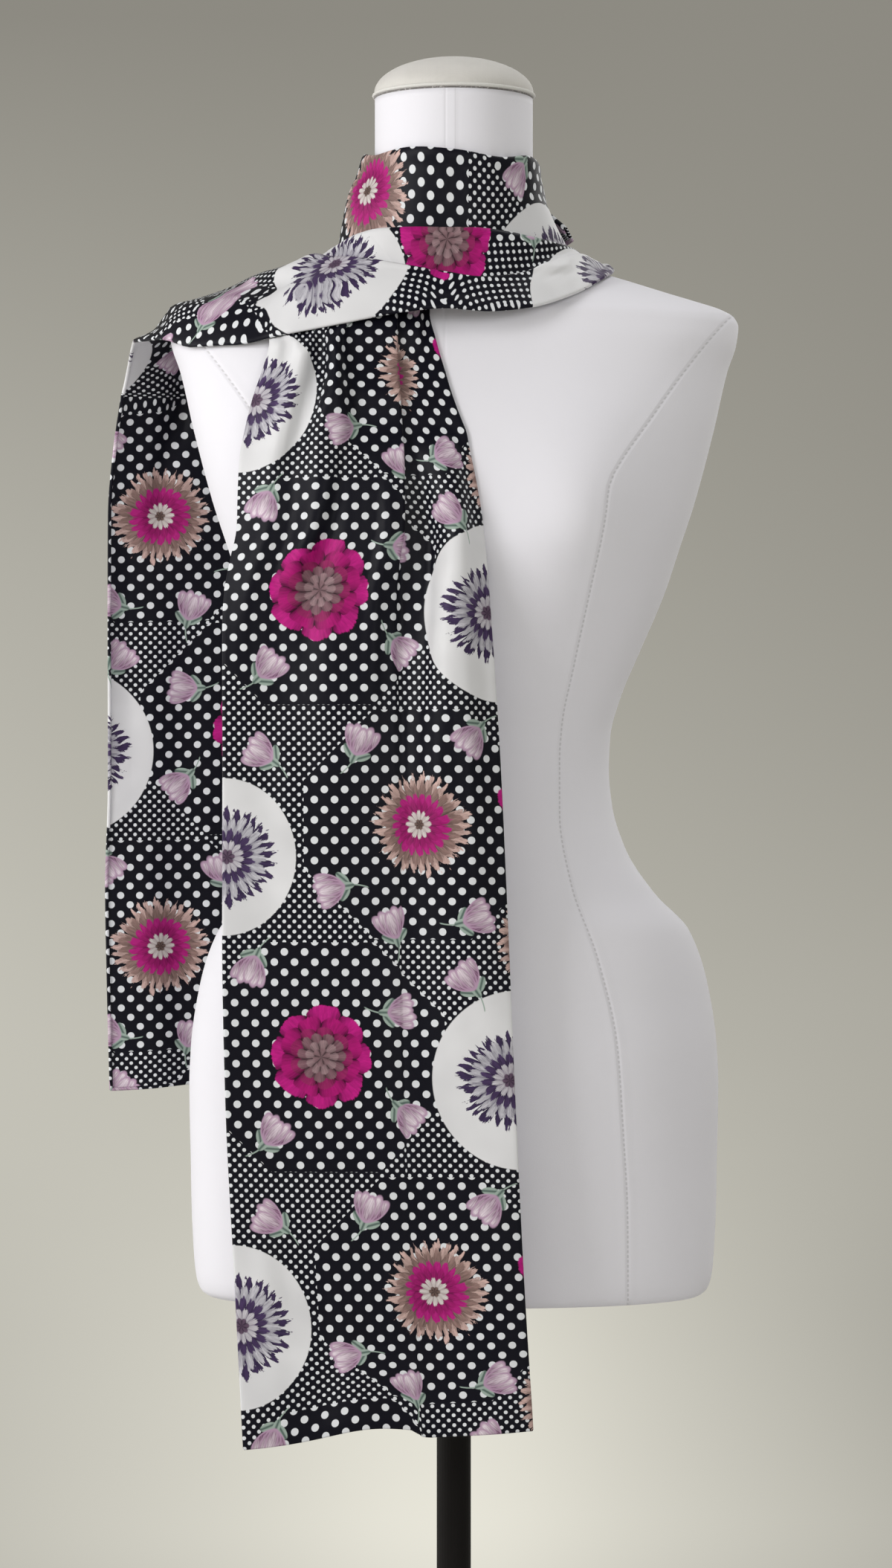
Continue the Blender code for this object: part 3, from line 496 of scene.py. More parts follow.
def back_pleat(x, height):
    """How far the pleat beside the arm's end stands back from the rest."""
    off = (x - BACK_PLEAT_X) / BACK_PLEAT_SPREAD
    fading = ease((height - BACK_PLEAT_BOTTOM) / 0.05)
    return BACK_PLEAT_DEPTH * fading * np.exp(-(off**2))


# The cloth's fine form

SHELL = 0.0008
HEM_ROLL = 0.0009
HEM_LIFT = 0.0086  # the most that a bottom hem is drawn up between its corners
HEM_DRAW = 0.055  # how far up the cloth that reaches
ROLL_STEPS = 5


def refined(grid, times, axis):
    """The grid with times as many steps along an axis, on a curve through its points."""
    grid = np.moveaxis(np.asarray(grid, float), axis, 0)
    gaps = steps_of(grid)[..., None] + 1e-7
    slopes = np.diff(grid, axis=0) / gaps
    middle = (slopes[:-1] * gaps[1:] + slopes[1:] * gaps[:-1]) / (gaps[1:] + gaps[:-1])
    tangents = np.concatenate([slopes[:1], middle, slopes[-1:]])
    rise, fall = gaps * tangents[:-1], gaps * tangents[1:]
    steps = [hermite(t, grid[:-1], grid[1:], rise, fall) for t in np.arange(times) / times]
    fine = np.stack(steps, axis=1).reshape(-1, *grid.shape[1:])
    return np.moveaxis(np.concatenate([fine, grid[-1:]]), 0, axis)


def normals_of(grid):
    """Unit normals of a grid of points, standing out from the form."""
    along, across = np.gradient(grid, axis=0), np.gradient(grid, axis=1)
    normal = np.cross(along, across)
    return normal / (np.linalg.norm(normal, axis=-1, keepdims=True) + 1e-12)


def run_along(grid, axis):
    """The length of cloth up to each point along an axis, the mean of all its lines."""
    return running(steps_of(grid, axis).mean(axis=1 - axis))


def lattice(down, over):
    """The places at these runs down a grid's rows and over its columns."""
    return np.stack(np.meshgrid(down, over, indexing="ij"), axis=-1)


def creased(grid, creases):
    """The grid with soft creases laid on it.

    Each is (row, column) of both ends as shares of the grid, width and depth in metres, and
    how much it curves. Plus stands out and minus sinks in.
    """
    down, over = run_along(grid, 0), run_along(grid, 1)
    shift = 0.0
    for row_a, column_a, row_b, column_b, width, depth, curve in creases:
        start = np.array([down[-1] * row_a, over[-1] * column_a])
        line = np.array([down[-1] * row_b, over[-1] * column_b]) - start
        length = np.linalg.norm(line)
        unit = line / length
        place = lattice(down, over) - start
        along = (place @ unit) / length
        off = place @ np.array([-unit[1], unit[0]])
        off = off - curve * length * 4 * along * (1 - along)
        fading = ease(along * 3.2) * ease((1 - along) * 2.6)
        swell = 1 + 0.35 * np.sin(7 * along + 40 * row_a)
        profile = np.exp(-((off / (width * (0.7 + 0.5 * along))) ** 2))
        shift = shift + depth * swell * fading * profile
    return grid + shift[..., None] * normals_of(grid)


def flattened(grid, loops=900):
    """Places in the flat cloth, near true to every length in the grid."""
    rows, columns = grid.shape[:2]
    start = lattice(run_along(grid, 0), run_along(grid, 1)).reshape(-1, 2)
    index = np.arange(rows * columns).reshape(rows, columns)
    ways = (
        (index[:-1], index[1:]), (index[:, :-1], index[:, 1:]),
        (index[:-1, :-1], index[1:, 1:]), (index[1:, :-1], index[:-1, 1:]),
    )
    pairs = np.concatenate([np.stack([a.ravel(), b.ravel()], 1) for a, b in ways])
    points, spots = grid.reshape(-1, 3), start
    wanted = np.linalg.norm(points[pairs[:, 0]] - points[pairs[:, 1]], axis=1)
    ends = pairs.T.ravel()
    count = np.bincount(ends, minlength=len(points))[:, None]
    for _ in range(loops):
        apart = spots[pairs[:, 1]] - spots[pairs[:, 0]]
        length = np.linalg.norm(apart, axis=1) + 1e-9
        pull = ((length - wanted) / length / 2)[:, None] * apart
        moved = [np.bincount(ends, np.concatenate([p, -p]), len(points)) for p in pull.T]
        spots = spots + 1.3 * np.stack(moved, axis=1) / count
    return rigid(spots, start, spots).reshape(rows, columns, 2)


def rigid(source, target, moved):
    """moved, turned and shifted the way that lays source best on target."""
    centre, goal = source.mean(axis=0), target.mean(axis=0)
    left, _, right = np.linalg.svd((source - centre).T @ (target - goal))
    turn = left @ np.diag([1, np.sign(np.linalg.det(left @ right))]) @ right
    return (moved - centre) @ turn + goal


def rolled(grid, flat, side):
    """The grid with its first column, last column or last row rolled under as a hem."""
    flip = slice(None, None, -1 if side == "first" else 1)

    def turned(values):
        return values if side == "bottom" else values.swapaxes(0, 1)

    normal = turned(normals_of(grid))[flip][-1]
    grid, flat = turned(grid)[flip], turned(flat)[flip]
    out, on = (
        step / (np.linalg.norm(step, axis=-1, keepdims=True) + 1e-9)
        for step in (grid[-1] - grid[-2], flat[-1] - flat[-2])
    )
    more, more_flat = [], []
    for turn in np.linspace(0, math.radians(255), ROLL_STEPS + 1)[1:]:
        step = math.sin(turn) * out - (1 - math.cos(turn)) * normal
        more.append(grid[-1] + HEM_ROLL * step)
        more_flat.append(flat[-1] + HEM_ROLL * turn * on)
    grid, flat = np.concatenate([grid, more]), np.concatenate([flat, more_flat])
    return turned(grid[flip]), turned(flat[flip])


def hemmed(grid, flat):
    """A hanging end with its two sides and its bottom rolled under."""
    for side in ("first", "last", "bottom"):
        grid, flat = rolled(grid, flat, side)
    return grid, flat


def draw_up(grid, lift, middle, spread, highest):
    """Draws up the bottom hem between its corners, below the height highest."""
    share = np.linspace(0, 1, grid.shape[1])
    drawn = lift * np.exp(-(((share - middle) / spread) ** 2))
    grid[..., 2] += drawn * ease((highest - grid[..., 2]) / HEM_DRAW)


def mesh_of(name, grid, closed=False):
    """A mesh through a grid of points. A closed one joins its last column to its first."""
    rows, columns = grid.shape[:2]
    index = np.arange(rows * columns).reshape(rows, columns)
    if closed:
        index = np.concatenate([index, index[:, :1]], axis=1)
    corners = [index[:-1, :-1], index[1:, :-1], index[1:, 1:], index[:-1, 1:]]
    faces = np.stack(corners, axis=-1).reshape(-1, 4)
    mesh = bpy.data.meshes.new(name)
    mesh.from_pydata(grid.reshape(-1, 3).tolist(), [], faces.tolist())
    mesh.update()
    return mesh


def capped(mesh, highest=math.inf):
    """Closes the open ends below highest, and turns all faces out where that is every end."""
    bm = bmesh.new()
    bm.from_mesh(mesh)
    ends = [e for e in bm.edges if e.is_boundary and max(v.co.z for v in e.verts) < highest]
    bmesh.ops.holes_fill(bm, edges=ends)
    if highest == math.inf:
        bmesh.ops.recalc_face_normals(bm, faces=bm.faces)
    bm.to_mesh(mesh)
    bm.free()


def carry(mesh, name, values):
    """Writes a vector for each point of the mesh, for its shader."""
    values = np.asarray(values, np.float32).reshape(len(mesh.vertices), -1)
    full = np.zeros((len(values), 3), np.float32)
    full[:, : values.shape[1]] = values
    layer = mesh.attributes.new(name, "FLOAT_VECTOR", "POINT")
    layer.data.foreach_set("vector", full.ravel())


def shown(name, mesh, look):
    """A smooth object in the scene."""
    obj = bpy.data.objects.new(name, mesh)
    bpy.context.scene.collection.objects.link(obj)
    mesh.materials.append(look)
    for face in mesh.polygons:
        face.use_smooth = True
    return obj


def add(name, mesh, look):
    obj = shown(name, mesh, look)
    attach(obj, "root")
    return obj


def silk_piece(name, cloth, look, node):
    grid, flat = cloth
    mesh = mesh_of(name, grid)
    carry(mesh, "cloth", flat)
    obj = add(name, mesh, look)
    shell = obj.modifiers.new("shell", "SOLIDIFY")
    shell.thickness, shell.offset = SHELL, 0
    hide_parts(node)


INNER_PRINT_SHIFT = (0.070, -0.0297)  # of the neck turn's print, across and along

# Creases laid one by one: row and column of both ends as shares of the stretch, width, depth,
# and how much each curves. Columns run from a band's inside flap to its lower edge, and
# from the left edge of a hanging end to its right one, as seen from the front.
INNER_CREASES = metres(
    (0, 1, 2, 3, 6),
    (0.03, 0.55, 0.16, 0.62, 5, 1, 0.1), (0.1, 0.72, 0.3, 0.66, 6, -1, -0.08),
    (0.33, 0.5, 0.335, 0.68, 3, 1.6, 0.02), (0.345, 0.5, 0.35, 0.74, 2.8, -1.4, -0.03),
    (0.362, 0.5, 0.366, 0.64, 2.6, 1.2, 0.03), (0.4, 0.7, 0.56, 0.6, 7, 1, 0.05),
    (0.46, 0.56, 0.62, 0.66, 6, -0.9, -0.06), (0.6, 0.62, 0.74, 0.54, 6, 1.1, 0.08),
    (0.68, 0.7, 0.86, 0.6, 5.5, -1, 0.04), (0.8, 0.56, 0.93, 0.66, 5, 0.9, -0.07),
)
OUTER_CREASES = metres(
    (0, 1, 2, 3, 6),
    (0.05, 0.62, 0.2, 0.55, 5, 1.4, 0.06), (0.1, 0.88, 0.27, 0.8, 6, -1.2, 0.05),
    (0.24, 0.5, 0.36, 0.6, 4.5, 1.4, -0.05), (0.3, 0.95, 0.44, 0.86, 6, 1.6, 0.04),
    (0.37, 0.8, 0.47, 0.88, 5, -1.4, 0.03), (0.44, 0.38, 0.58, 0.45, 5, 1, 0.05),
    (0.56, 0.92, 0.8, 0.84, 9, 0.9, 0.04), (0.62, 0.8, 0.82, 0.9, 8.5, -0.8, -0.04),
    (0.72, 0.44, 0.9, 0.52, 8, 0.8, 0.05), (0.8, 0.94, 0.97, 0.9, 9, 0.8, 0.02),
    (0.86, 0.74, 1, 0.78, 9.5, -0.8, 0.03),
)
FRONT_CREASES = metres(
    (0, 1, 2, 3, 6),
    (0.07, 0.4, 0.3, 0.16, 8, 3.6, 0.05), (0.08, 0.48, 0.36, 0.3, 7, -3.4, -0.05),
    (0.06, 0.3, 0.22, 0.06, 7, -2, 0.04), (0.12, 0.52, 0.44, 0.47, 7, 3, 0.03),
    (0.1, 0.76, 0.42, 0.7, 6.5, -1.8, 0.02), (0.16, 0.92, 0.48, 0.84, 8.5, 2.8, -0.03),
    (0.34, 0.2, 0.74, 0.14, 13, 1.8, 0.03), (0.4, 0.62, 0.88, 0.58, 15, 1.6, -0.02),
    (0.55, 0.36, 0.97, 0.4, 16, -1.8, 0.03), (0.5, 0.86, 0.92, 0.82, 13, -1.4, 0.02),
    (0.8, 0.1, 1, 0.12, 12, 2.4, 0.01), (0.84, 0.3, 1.02, 0.27, 11, -2.4, 0.01),
    (0.82, 0.56, 1.02, 0.6, 14, 2.2, -0.01), (0.86, 0.84, 1.02, 0.87, 12, -1.6, 0.01),
)
BACK_CREASES = metres(
    (0, 1, 2, 3, 6),
    (0.12, 0.7, 0.46, 0.8, 9, 3.4, 0.04), (0.16, 0.56, 0.6, 0.46, 12, -3.6, -0.03),
    (0.18, 0.24, 0.58, 0.32, 11, 3.2, 0.05), (0.26, 0.92, 0.78, 0.86, 11, 3, 0.02),
    (0.36, 0.68, 1.12, 0.61, 17, 5.6, 0.03), (0.42, 0.14, 1.12, 0.2, 16, -5.2, -0.02),
    (0.62, 0.42, 1.16, 0.38, 15, 5.2, 0.01), (0.66, 0.84, 1.16, 0.8, 15, -5, 0.01),
)


def round_neck(sections, profile, stations):
    """A turn's profiles, four to each of the solid's stations."""
    angles = np.linspace(sections[0][0], sections[-1][0], 4 * stations - 3)
    return np.array([placed(angle, profile(angle)) for angle in angles])


def fine_inner_turn():
    grid = refined(round_neck(INNER_SECTIONS, inner_profile, INNER_STATIONS), 4, 1)
    flat = lattice(run_along(grid, 0), run_along(grid, 1))[..., ::-1]
    return creased(grid, INNER_CREASES), flat + INNER_PRINT_SHIFT


def fine_outer_turn():
    coarse = round_neck(OUTER_SECTIONS, outer_profile, OUTER_STATIONS)
    flat = flattened(coarse[::4])[..., ::-1]
    flat = refined(refined(flat, 4, 0), 4, 1)
    return rolled(creased(refined(coarse, 4, 1), OUTER_CREASES), flat, "last")


def fine_front_end():
    top, bottom = FRONT_SECTIONS[0][0], FRONT_SECTIONS[-1][0]
    share = np.linspace(0, 1, 5 * FRONT_ROWS - 4) ** 1.35
    coarse = np.array([under_band(front_row(z)) for z in top - (top - bottom) * share])
    coarse = off_form(coarse, CLEAR_OF_FORM + WALL)
    flat = lattice(run_along(coarse, 0), across_front(0.004))[..., ::-1]
    grid = creased(refined(coarse, 3, 1), FRONT_CREASES)
    draw_up(grid, HEM_LIFT, 0.40, 0.20, 0.757)
    return hemmed(off_form(grid, CLEAR_OF_FORM), refined(flat, 3, 1))


def fine_back_end(ridge):
    """The back end from the shoulder's ridge down, and the ridge's places in its flat cloth."""
    along, across = shares(ridge), np.linspace(0, 1, BACK_ACROSS)
    first = columns_at(across, along, ridge)
    top, bottom = BACK_SECTIONS[0][0], BACK_SECTIONS[-1][0]
    hanging, shoulder = [], []
    for height in np.linspace(top, bottom, 4 * (BACK_ROWS - BACK_SHOULDER_ROWS)):
        row = row_at(BACK_COLUMNS, BACK_SECTIONS, height)
        x = row["right"] + (row["left"] - row["right"]) * across
        y = row["depth"] - row["bow"] * (2 * across - 1) ** 2 + back_pleat(x, height)
        hanging.append(np.stack([x, y, np.full_like(x, height)], axis=1))
    for share in np.linspace(0, 1, 4 * BACK_SHOULDER_ROWS + 1)[:-1]:
        turn = share * math.pi / 2
        row = first + (hanging[0] - first) * [share, math.sin(turn), 1 - math.cos(turn)]
        row[:, 1] += (SEAM_GAP + 0.0002) * (1 - share)
        shoulder.append(row)
    coarse = off_form(shoulder + hanging, CLEAR_OF_FORM + 0.0016)
    flat = flattened(coarse[::3])[..., ::-1]
    rest = np.linspace(0, len(flat) - 1, len(coarse))
    low = np.clip(rest.astype(int), 0, len(flat) - 2)
    part = (rest - low)[:, None, None]
    flat = flat[low] * (1 - part) + flat[low + 1] * part
    grid = creased(refined(coarse, 4, 1), BACK_CREASES)
    draw_up(grid, HEM_LIFT * 0.6, 0.62, 0.24, 0.955)
    grid = off_form(grid, CLEAR_OF_FORM + 0.0008)
    return hemmed(grid, refined(flat, 4, 1)), columns_at(along, across, flat[0])


# Shader arithmetic


def math_node(operation):
    """A method of Term that makes one Math node."""
    return lambda term, *others: term.do(operation, *others)


class Term:
    """A number in a material's node tree, to reckon with."""

    __add__, __sub__ = math_node("ADD"), math_node("SUBTRACT")
    __mul__, __truediv__ = math_node("MULTIPLY"), math_node("DIVIDE")
    wave, size, whole = math_node("COSINE"), math_node("ABSOLUTE"), math_node("FLOOR")
    most, least = math_node("MAXIMUM"), math_node("MINIMUM")

    def __init__(self, tree, socket):
        self.tree, self.socket = tree, socket

    def do(self, operation, *others):
        node = self.tree.nodes.new("ShaderNodeMath")
        node.operation = operation
        return filled(node, self, *others)

    def from_(self, number):
        return self * -1.0 + number

    def within(self, low, high):
        return self.most(low).least(high)


def put(tree, slot, value):
    if isinstance(value, Term):
        tree.links.new(value.socket, slot)
    elif isinstance(value, tuple):
        slot.default_value = (*value, 1) if len(slot.default_value) == 4 else value
    else:
        slot.default_value = value


def filled(node, *values, output=0, **named):
    """One output of a node, with its inputs set: values in order, named ones by name."""
    tree = node.id_data
    for slot, value in (*zip(node.inputs, values), *((node.inputs[k], named[k]) for k in named)):
        put(tree, slot, value)
    return Term(tree, node.outputs[output])


def below(value, edge, soft):
    """1 where value is under edge, 0 where it is over, with a soft step between."""
    node = value.tree.nodes.new("ShaderNodeMapRange")
    node.interpolation_type = "SMOOTHSTEP"
    return filled(node, value - edge, -soft, soft, 1.0, 0.0)


def mixed(share, first, second):
    """A colour between first, at share 0, and second, at share 1."""
    node = share.tree.nodes.new("ShaderNodeMix")
    node.data_type = "RGBA"
    put(share.tree, node.inputs[6], first)
    put(share.tree, node.inputs[7], second)
    return filled(node, share, output=2)


def vector(tree, *parts):
    return filled(tree.nodes.new("ShaderNodeCombineXYZ"), *parts)


def noise(place, scale, detail=2.0, roughness=0.5):
    node = place.tree.nodes.new("ShaderNodeTexNoise")
    return filled(node, Vector=place, Scale=scale, Detail=detail, Roughness=roughness)


def object_place(tree):
    """The point's place in its object's own metres."""
    return filled(tree.nodes.new("ShaderNodeTexCoord"), output="Object")


def carried(tree, name):
    """The vector that the mesh carries under a name, and its parts."""
    node = tree.nodes.new("ShaderNodeAttribute")
    node.attribute_name = name
    whole = filled(node, output="Vector")
    return whole, *parts_of(whole)


def parts_of(whole):
    node = whole.tree.nodes.new("ShaderNodeSeparateXYZ")
    put(whole.tree, node.inputs[0], whole)
    return [Term(whole.tree, socket) for socket in node.outputs]


def finish_look(tree, shader, colour, height, distance, strength):
    """Gives the shader its colour and a bump of this height."""
    put(tree, shader.inputs["Base Color"], colour)
    node = tree.nodes.new("ShaderNodeBump")
    bump = filled(node, Distance=distance, Strength=strength, Height=height)
    put(tree, shader.inputs["Normal"], bump)


def new_look(name, **settings):
    made = bpy.data.materials.new(name)
    made.use_nodes = True
    shader = made.node_tree.nodes["Principled BSDF"]
    for slot, value in settings.items():
        put(made.node_tree, shader.inputs[slot.replace("_", " ")], value)
    return made, made.node_tree, shader


# The print, in millimetres

REPEAT, REPEAT_ACROSS = 301.3, 288.2
GROUND = (0.0036, 0.0036, 0.0088)
DOT = (0.78, 0.80, 0.83)
PATCH, PATCH_SHADE = (0.84, 0.84, 0.86), (0.73, 0.73, 0.75)
BIG_PITCH, SMALL_PITCH = 13.1, 6.55
DOT_SHARE = 0.262  # a dot's radius as a share of the distance to the next one

# Rings of petals, from the outside in: how many, their tips' radius, how deep they are cut,
# how pointed, how far turned, how fringed, colour between, colour of the petal.
ROSY_ASTER = (
    (31, 33, 0.26, 0.7, 0, 1, (0.095, 0.062, 0.054), (0.7, 0.49, 0.45)),
    (26, 28, 0.24, 0.7, 0.5, 1, (0.05, 0.034, 0.03), (0.34, 0.215, 0.195)),
    (21, 21, 0.26, 0.6, 0.2, 0.9, (0.22, 0.003, 0.09), (0.52, 0.02, 0.24)),
    (17, 15.5, 0.26, 0.6, 0.7, 0.9, (0.1, 0.003, 0.045), (0.4, 0.012, 0.17)),
    (12, 9, 0.34, 0.6, 0.4, 0.8, (0.3, 0.22, 0.22), (0.74, 0.7, 0.68)),
    (6, 3.6, 0.3, 0.7, 0.1, 0.5, (0.02, 0.012, 0.014), (0.2, 0.13, 0.11)),
)
PINK_DAHLIA = (
    (8, 33, 0.15, 0.45, 0, 0.18, (0.045, 0.001, 0.02), (0.6, 0.014, 0.26)),
    (8, 27, 0.17, 0.45, 0.5, 0.18, (0.03, 0.001, 0.014), (0.5, 0.009, 0.2)),
    (9, 20.5, 0.18, 0.5, 0.2, 0.2, (0.02, 0.003, 0.01), (0.36, 0.022, 0.14)),
    (11, 16, 0.22, 0.5, 0.6, 0.25, (0.022, 0.01, 0.014), (0.27, 0.14, 0.17)),
    (9, 11, 0.25, 0.5, 0.3, 0.25, (0.03, 0.014, 0.018), (0.38, 0.25, 0.27)),
    (6, 6, 0.25, 0.5, 0.1, 0.25, (0.02, 0.01, 0.012), (0.3, 0.18, 0.2)),
)
PLUM_ASTER = (
    (29, 32, 0.3, 0.6, 0, 1, (0.01, 0.008, 0.022), (0.06, 0.036, 0.105)),
    (25, 26.5, 0.3, 0.6, 0.5, 1, (0.055, 0.04, 0.095), (0.66, 0.65, 0.7)),
    (19, 18, 0.3, 0.6, 0.2, 1, (0.01, 0.007, 0.02), (0.085, 0.05, 0.14)),
    (14, 11, 0.3, 0.6, 0.6, 0.9, (0.16, 0.12, 0.19), (0.7, 0.68, 0.72)),
    (7, 5, 0.3, 0.7, 0.1, 0.5, (0.02, 0.012, 0.03), (0.16, 0.1, 0.16)),
)
# Flowers in one repeat: rings, then across, along and turn in radians for each place.
FLOWERS = (
    (ROSY_ASTER, ((130, 75, 0.4), (213, 152, 2.2))),
    (PINK_DAHLIA, ((62, 225, 1.1), (217, 60, 0.3))),
    (PLUM_ASTER, ((2, 96, 0.2), (184, 240, 1.7))),
)
# White patches: across, along, radius, how much taller than wide.
PATCHES = ((0, 96, 47, 1.08), (288.2, 96, 47, 1.08), (190, 240, 55, 1.05))
# Fields of big dots: across, along, half width, half length.
BIG_DOT_FIELDS = ((130, 75, 78, 74), (62, 225, 82, 74))
# Lilac buds: across, along, turn in degrees.
BUDS = (
    (88, 24, 200), (26, 30, 120), (168, 18, 40),
    (72, 116, 75), (110, 142, 160), (164, 136, 250),
    (18, 166, 20), (116, 262, 310), (28, 276, 220),
    (160, 176, 140), (112, 196, 265),
)
LILAC, LILAC_DEEP, LILAC_PALE = (0.50, 0.33, 0.47), (0.19, 0.070, 0.16), (0.90, 0.80, 0.87)
LEAF, LEAF_DEEP = (0.36, 0.45, 0.40), (0.10, 0.15, 0.13)
# A bud's leaves: across, along, turn. Its petals: across, along, width, height, turn,
# lightness.
BUD_LEAVES = ((-5.0, -6.5, 0.95), (5.2, -5.5, -0.80), (0.5, -7.5, 0.1))
BUD_PETALS = (
    (-5.6, 3.0, 4.4, 9.6, 0.52, 0.0), (5.6, 3.0, 4.4, 9.6, -0.52, 0.15),
    (-2.6, 3.6, 4.2, 10.2, 0.20, 0.5), (3.0, 3.4, 4.2, 10.0, -0.22, 0.4),
    (0.2, 2.6, 4.0, 9.4, 0.0, 0.75),
)
TWILL_PITCH = 0.00055


def dots(x, y, pitch):
    """1 on the dots of a square lattice that stands on its corner."""
    places = []
    for turned in (x + y, x - y):
        step = turned / pitch
        places.append(step - (step + 0.5).whole())
    apart = (places[0] * places[0] + places[1] * places[1]).do("SQRT")
    return below(apart, DOT_SHARE, 0.22 / pitch)


def new_group(name, numbers, colours):
    """A node group of these inputs and one colour: its tree, its end and its inputs."""
    tree = bpy.data.node_groups.new(name, "ShaderNodeTree")
    sockets = [(slot, "INPUT", "Float") for slot in numbers]
    sockets += [(slot, "INPUT", "Color") for slot in colours] + [("Colour", "OUTPUT", "Color")]
    for slot, way, kind in sockets:
        tree.interface.new_socket(slot, in_out=way, socket_type="NodeSocket" + kind)
    given = tree.nodes.new("NodeGroupInput")
    made = tree.nodes.new("NodeGroupOutput")
    return tree, made, [Term(tree, given.outputs[slot]) for slot in (*numbers, *colours)]


def petal_group(name):
    """A node group that draws one ring of petals over a colour."""
    numbers = ("Radius", "Angle", "Streak", "Half Count", "Tip", "Cut", "Point", "Turn", "Fringe")
    tree, made, given = new_group(name, numbers, ("Under", "Between", "Petal"))
    radius, angle, streak, half, tip, cut, point, turn, fringe, under, between, petal = given
    wander = (streak - 0.5) * fringe * 1.1
    lobe = ((angle + turn) * half + wander).wave().size().do("POWER", point)
    edge = tip * (lobe.from_(1.0) * cut).from_(1.0) * ((streak - 0.5) * fringe * 0.5 + 1.0)
    inside = below(radius, edge, 0.5)
    depth = radius / edge
    # Full petals are shaded from their edges, fringed ones along their threads.
    full = lobe * 1.05 + streak * 0.75 - 0.62
    thread = lobe * 0.45 + streak * 1.6 - 0.55
    shade = (full + (thread - full) * fringe) * (depth * 0.45 + 0.70)
    colour = mixed(inside, under, mixed(shade.within(0.0, 1.0), between, petal))
    tree.links.new(colour.socket, made.inputs[0])
    return tree


def away_from(right, up):
    return (right * right + up * up).do("SQRT")


def local(right, up, cos, sin):
    """Coordinates about a motif's own centre, turned with it."""
    return right * cos + up * sin, up * cos - right * sin


def about_nearest(place, places, reach):
    """Coordinates about whichever of these centres is within reach, turned with its motif."""
    tree = place.tree
    found, near_any = None, None
    for across, along, turn in places:
        apart = tree.nodes.new("ShaderNodeVectorMath")
        apart.operation = "DISTANCE"
        near = filled(apart, place, (across, along, 0), output="Value").do("LESS_THAN", reach)
        pick = tree.nodes.new("ShaderNodeVectorMath")
        pick.operation = "MULTIPLY_ADD"
        values = (near, (across, along, turn))
        found = filled(pick, *values) if found is None else filled(pick, *values, found)
        near_any = near if near_any is None else near_any + near
    x, y, _ = parts_of(place)
    across, along, turn = parts_of(found)
    right, up, cos, sin = x - across, y - along, turn.wave(), turn.do("SINE")
    away = near_any.from_(1.0) * 1000.0
    right, up = local(right, up, cos, sin)
    return right, up + away


def flower(under, place, rings, places, group):
    tree = place.tree
    right, up = about_nearest(place, places, 40.0)
    wobble = noise(place, 0.045, detail=2.0)
    radius = away_from(right, up) * (wobble * 0.34 + 0.84)
    angle = up.do("ARCTAN2", right) + wobble * 0.5
    ray = vector(tree, right / (radius + 0.5) * 5.0, up / (radius + 0.5) * 5.0, radius * 0.03)
    streak = noise(ray, 3.4, detail=3.0, roughness=0.7)
    colour = under
    for count, tip, cut, point, phase, fringe, between, petal in rings:
        node = tree.nodes.new("ShaderNodeGroup")
        node.node_tree = group
        turn = phase / count * math.tau
        values = (radius, angle, streak, count / 2, tip, cut, point, turn, fringe)
        colour = filled(node, *values, colour, between, petal)
    return colour


def bud_group(name):
    """A node group that draws a lilac bud with its leaves and stem over a colour."""
    tree, made, (x, y, under) = new_group(name, ("X", "Y"), ("Under",))

    def oval(across, along, wide, tall, turn):
        right, up = local(x - across, y - along, math.cos(turn), math.sin(turn))
        right, up = right / wide, up / tall
        return away_from(right, up), right, up

    curve = (y + 6.0) * (y + 6.0) * 0.022
    stem = below((x - curve).size(), 0.45, 0.25)
    stem = stem * below(y, -6.0, 0.6) * below(y * -1.0, 21.0, 0.6)
    colour = mixed(stem, under, LEAF)
    for across, along, turn in BUD_LEAVES:
        apart, right, _ = oval(across, along, 2.5, 5.2, turn)
        leaf = mixed(below(right.size(), 0.28, 0.25), LEAF, LEAF_DEEP)
        colour = mixed(below(apart, 1.0, 0.10), colour, leaf)
    streak = noise(vector(tree, x * 1.6, y * 0.16, 0.0), 1.0, detail=2.0)
    for *form, light in BUD_PETALS:
        apart, right, up = oval(*form)
        shade = up * 0.42 + streak * 1.2 - 0.22 - right.size() * 0.35 + light * 0.35
        petal = mixed(shade.within(0.0, 1.0), LILAC_DEEP, LILAC_PALE)
        petal = mixed(below(apart * -1.0, -0.80, 0.12), petal, LILAC)
        colour = mixed(below(apart, 1.0, 0.08), colour, petal)
    tree.links.new(colour.socket, made.inputs[0])
    return tree


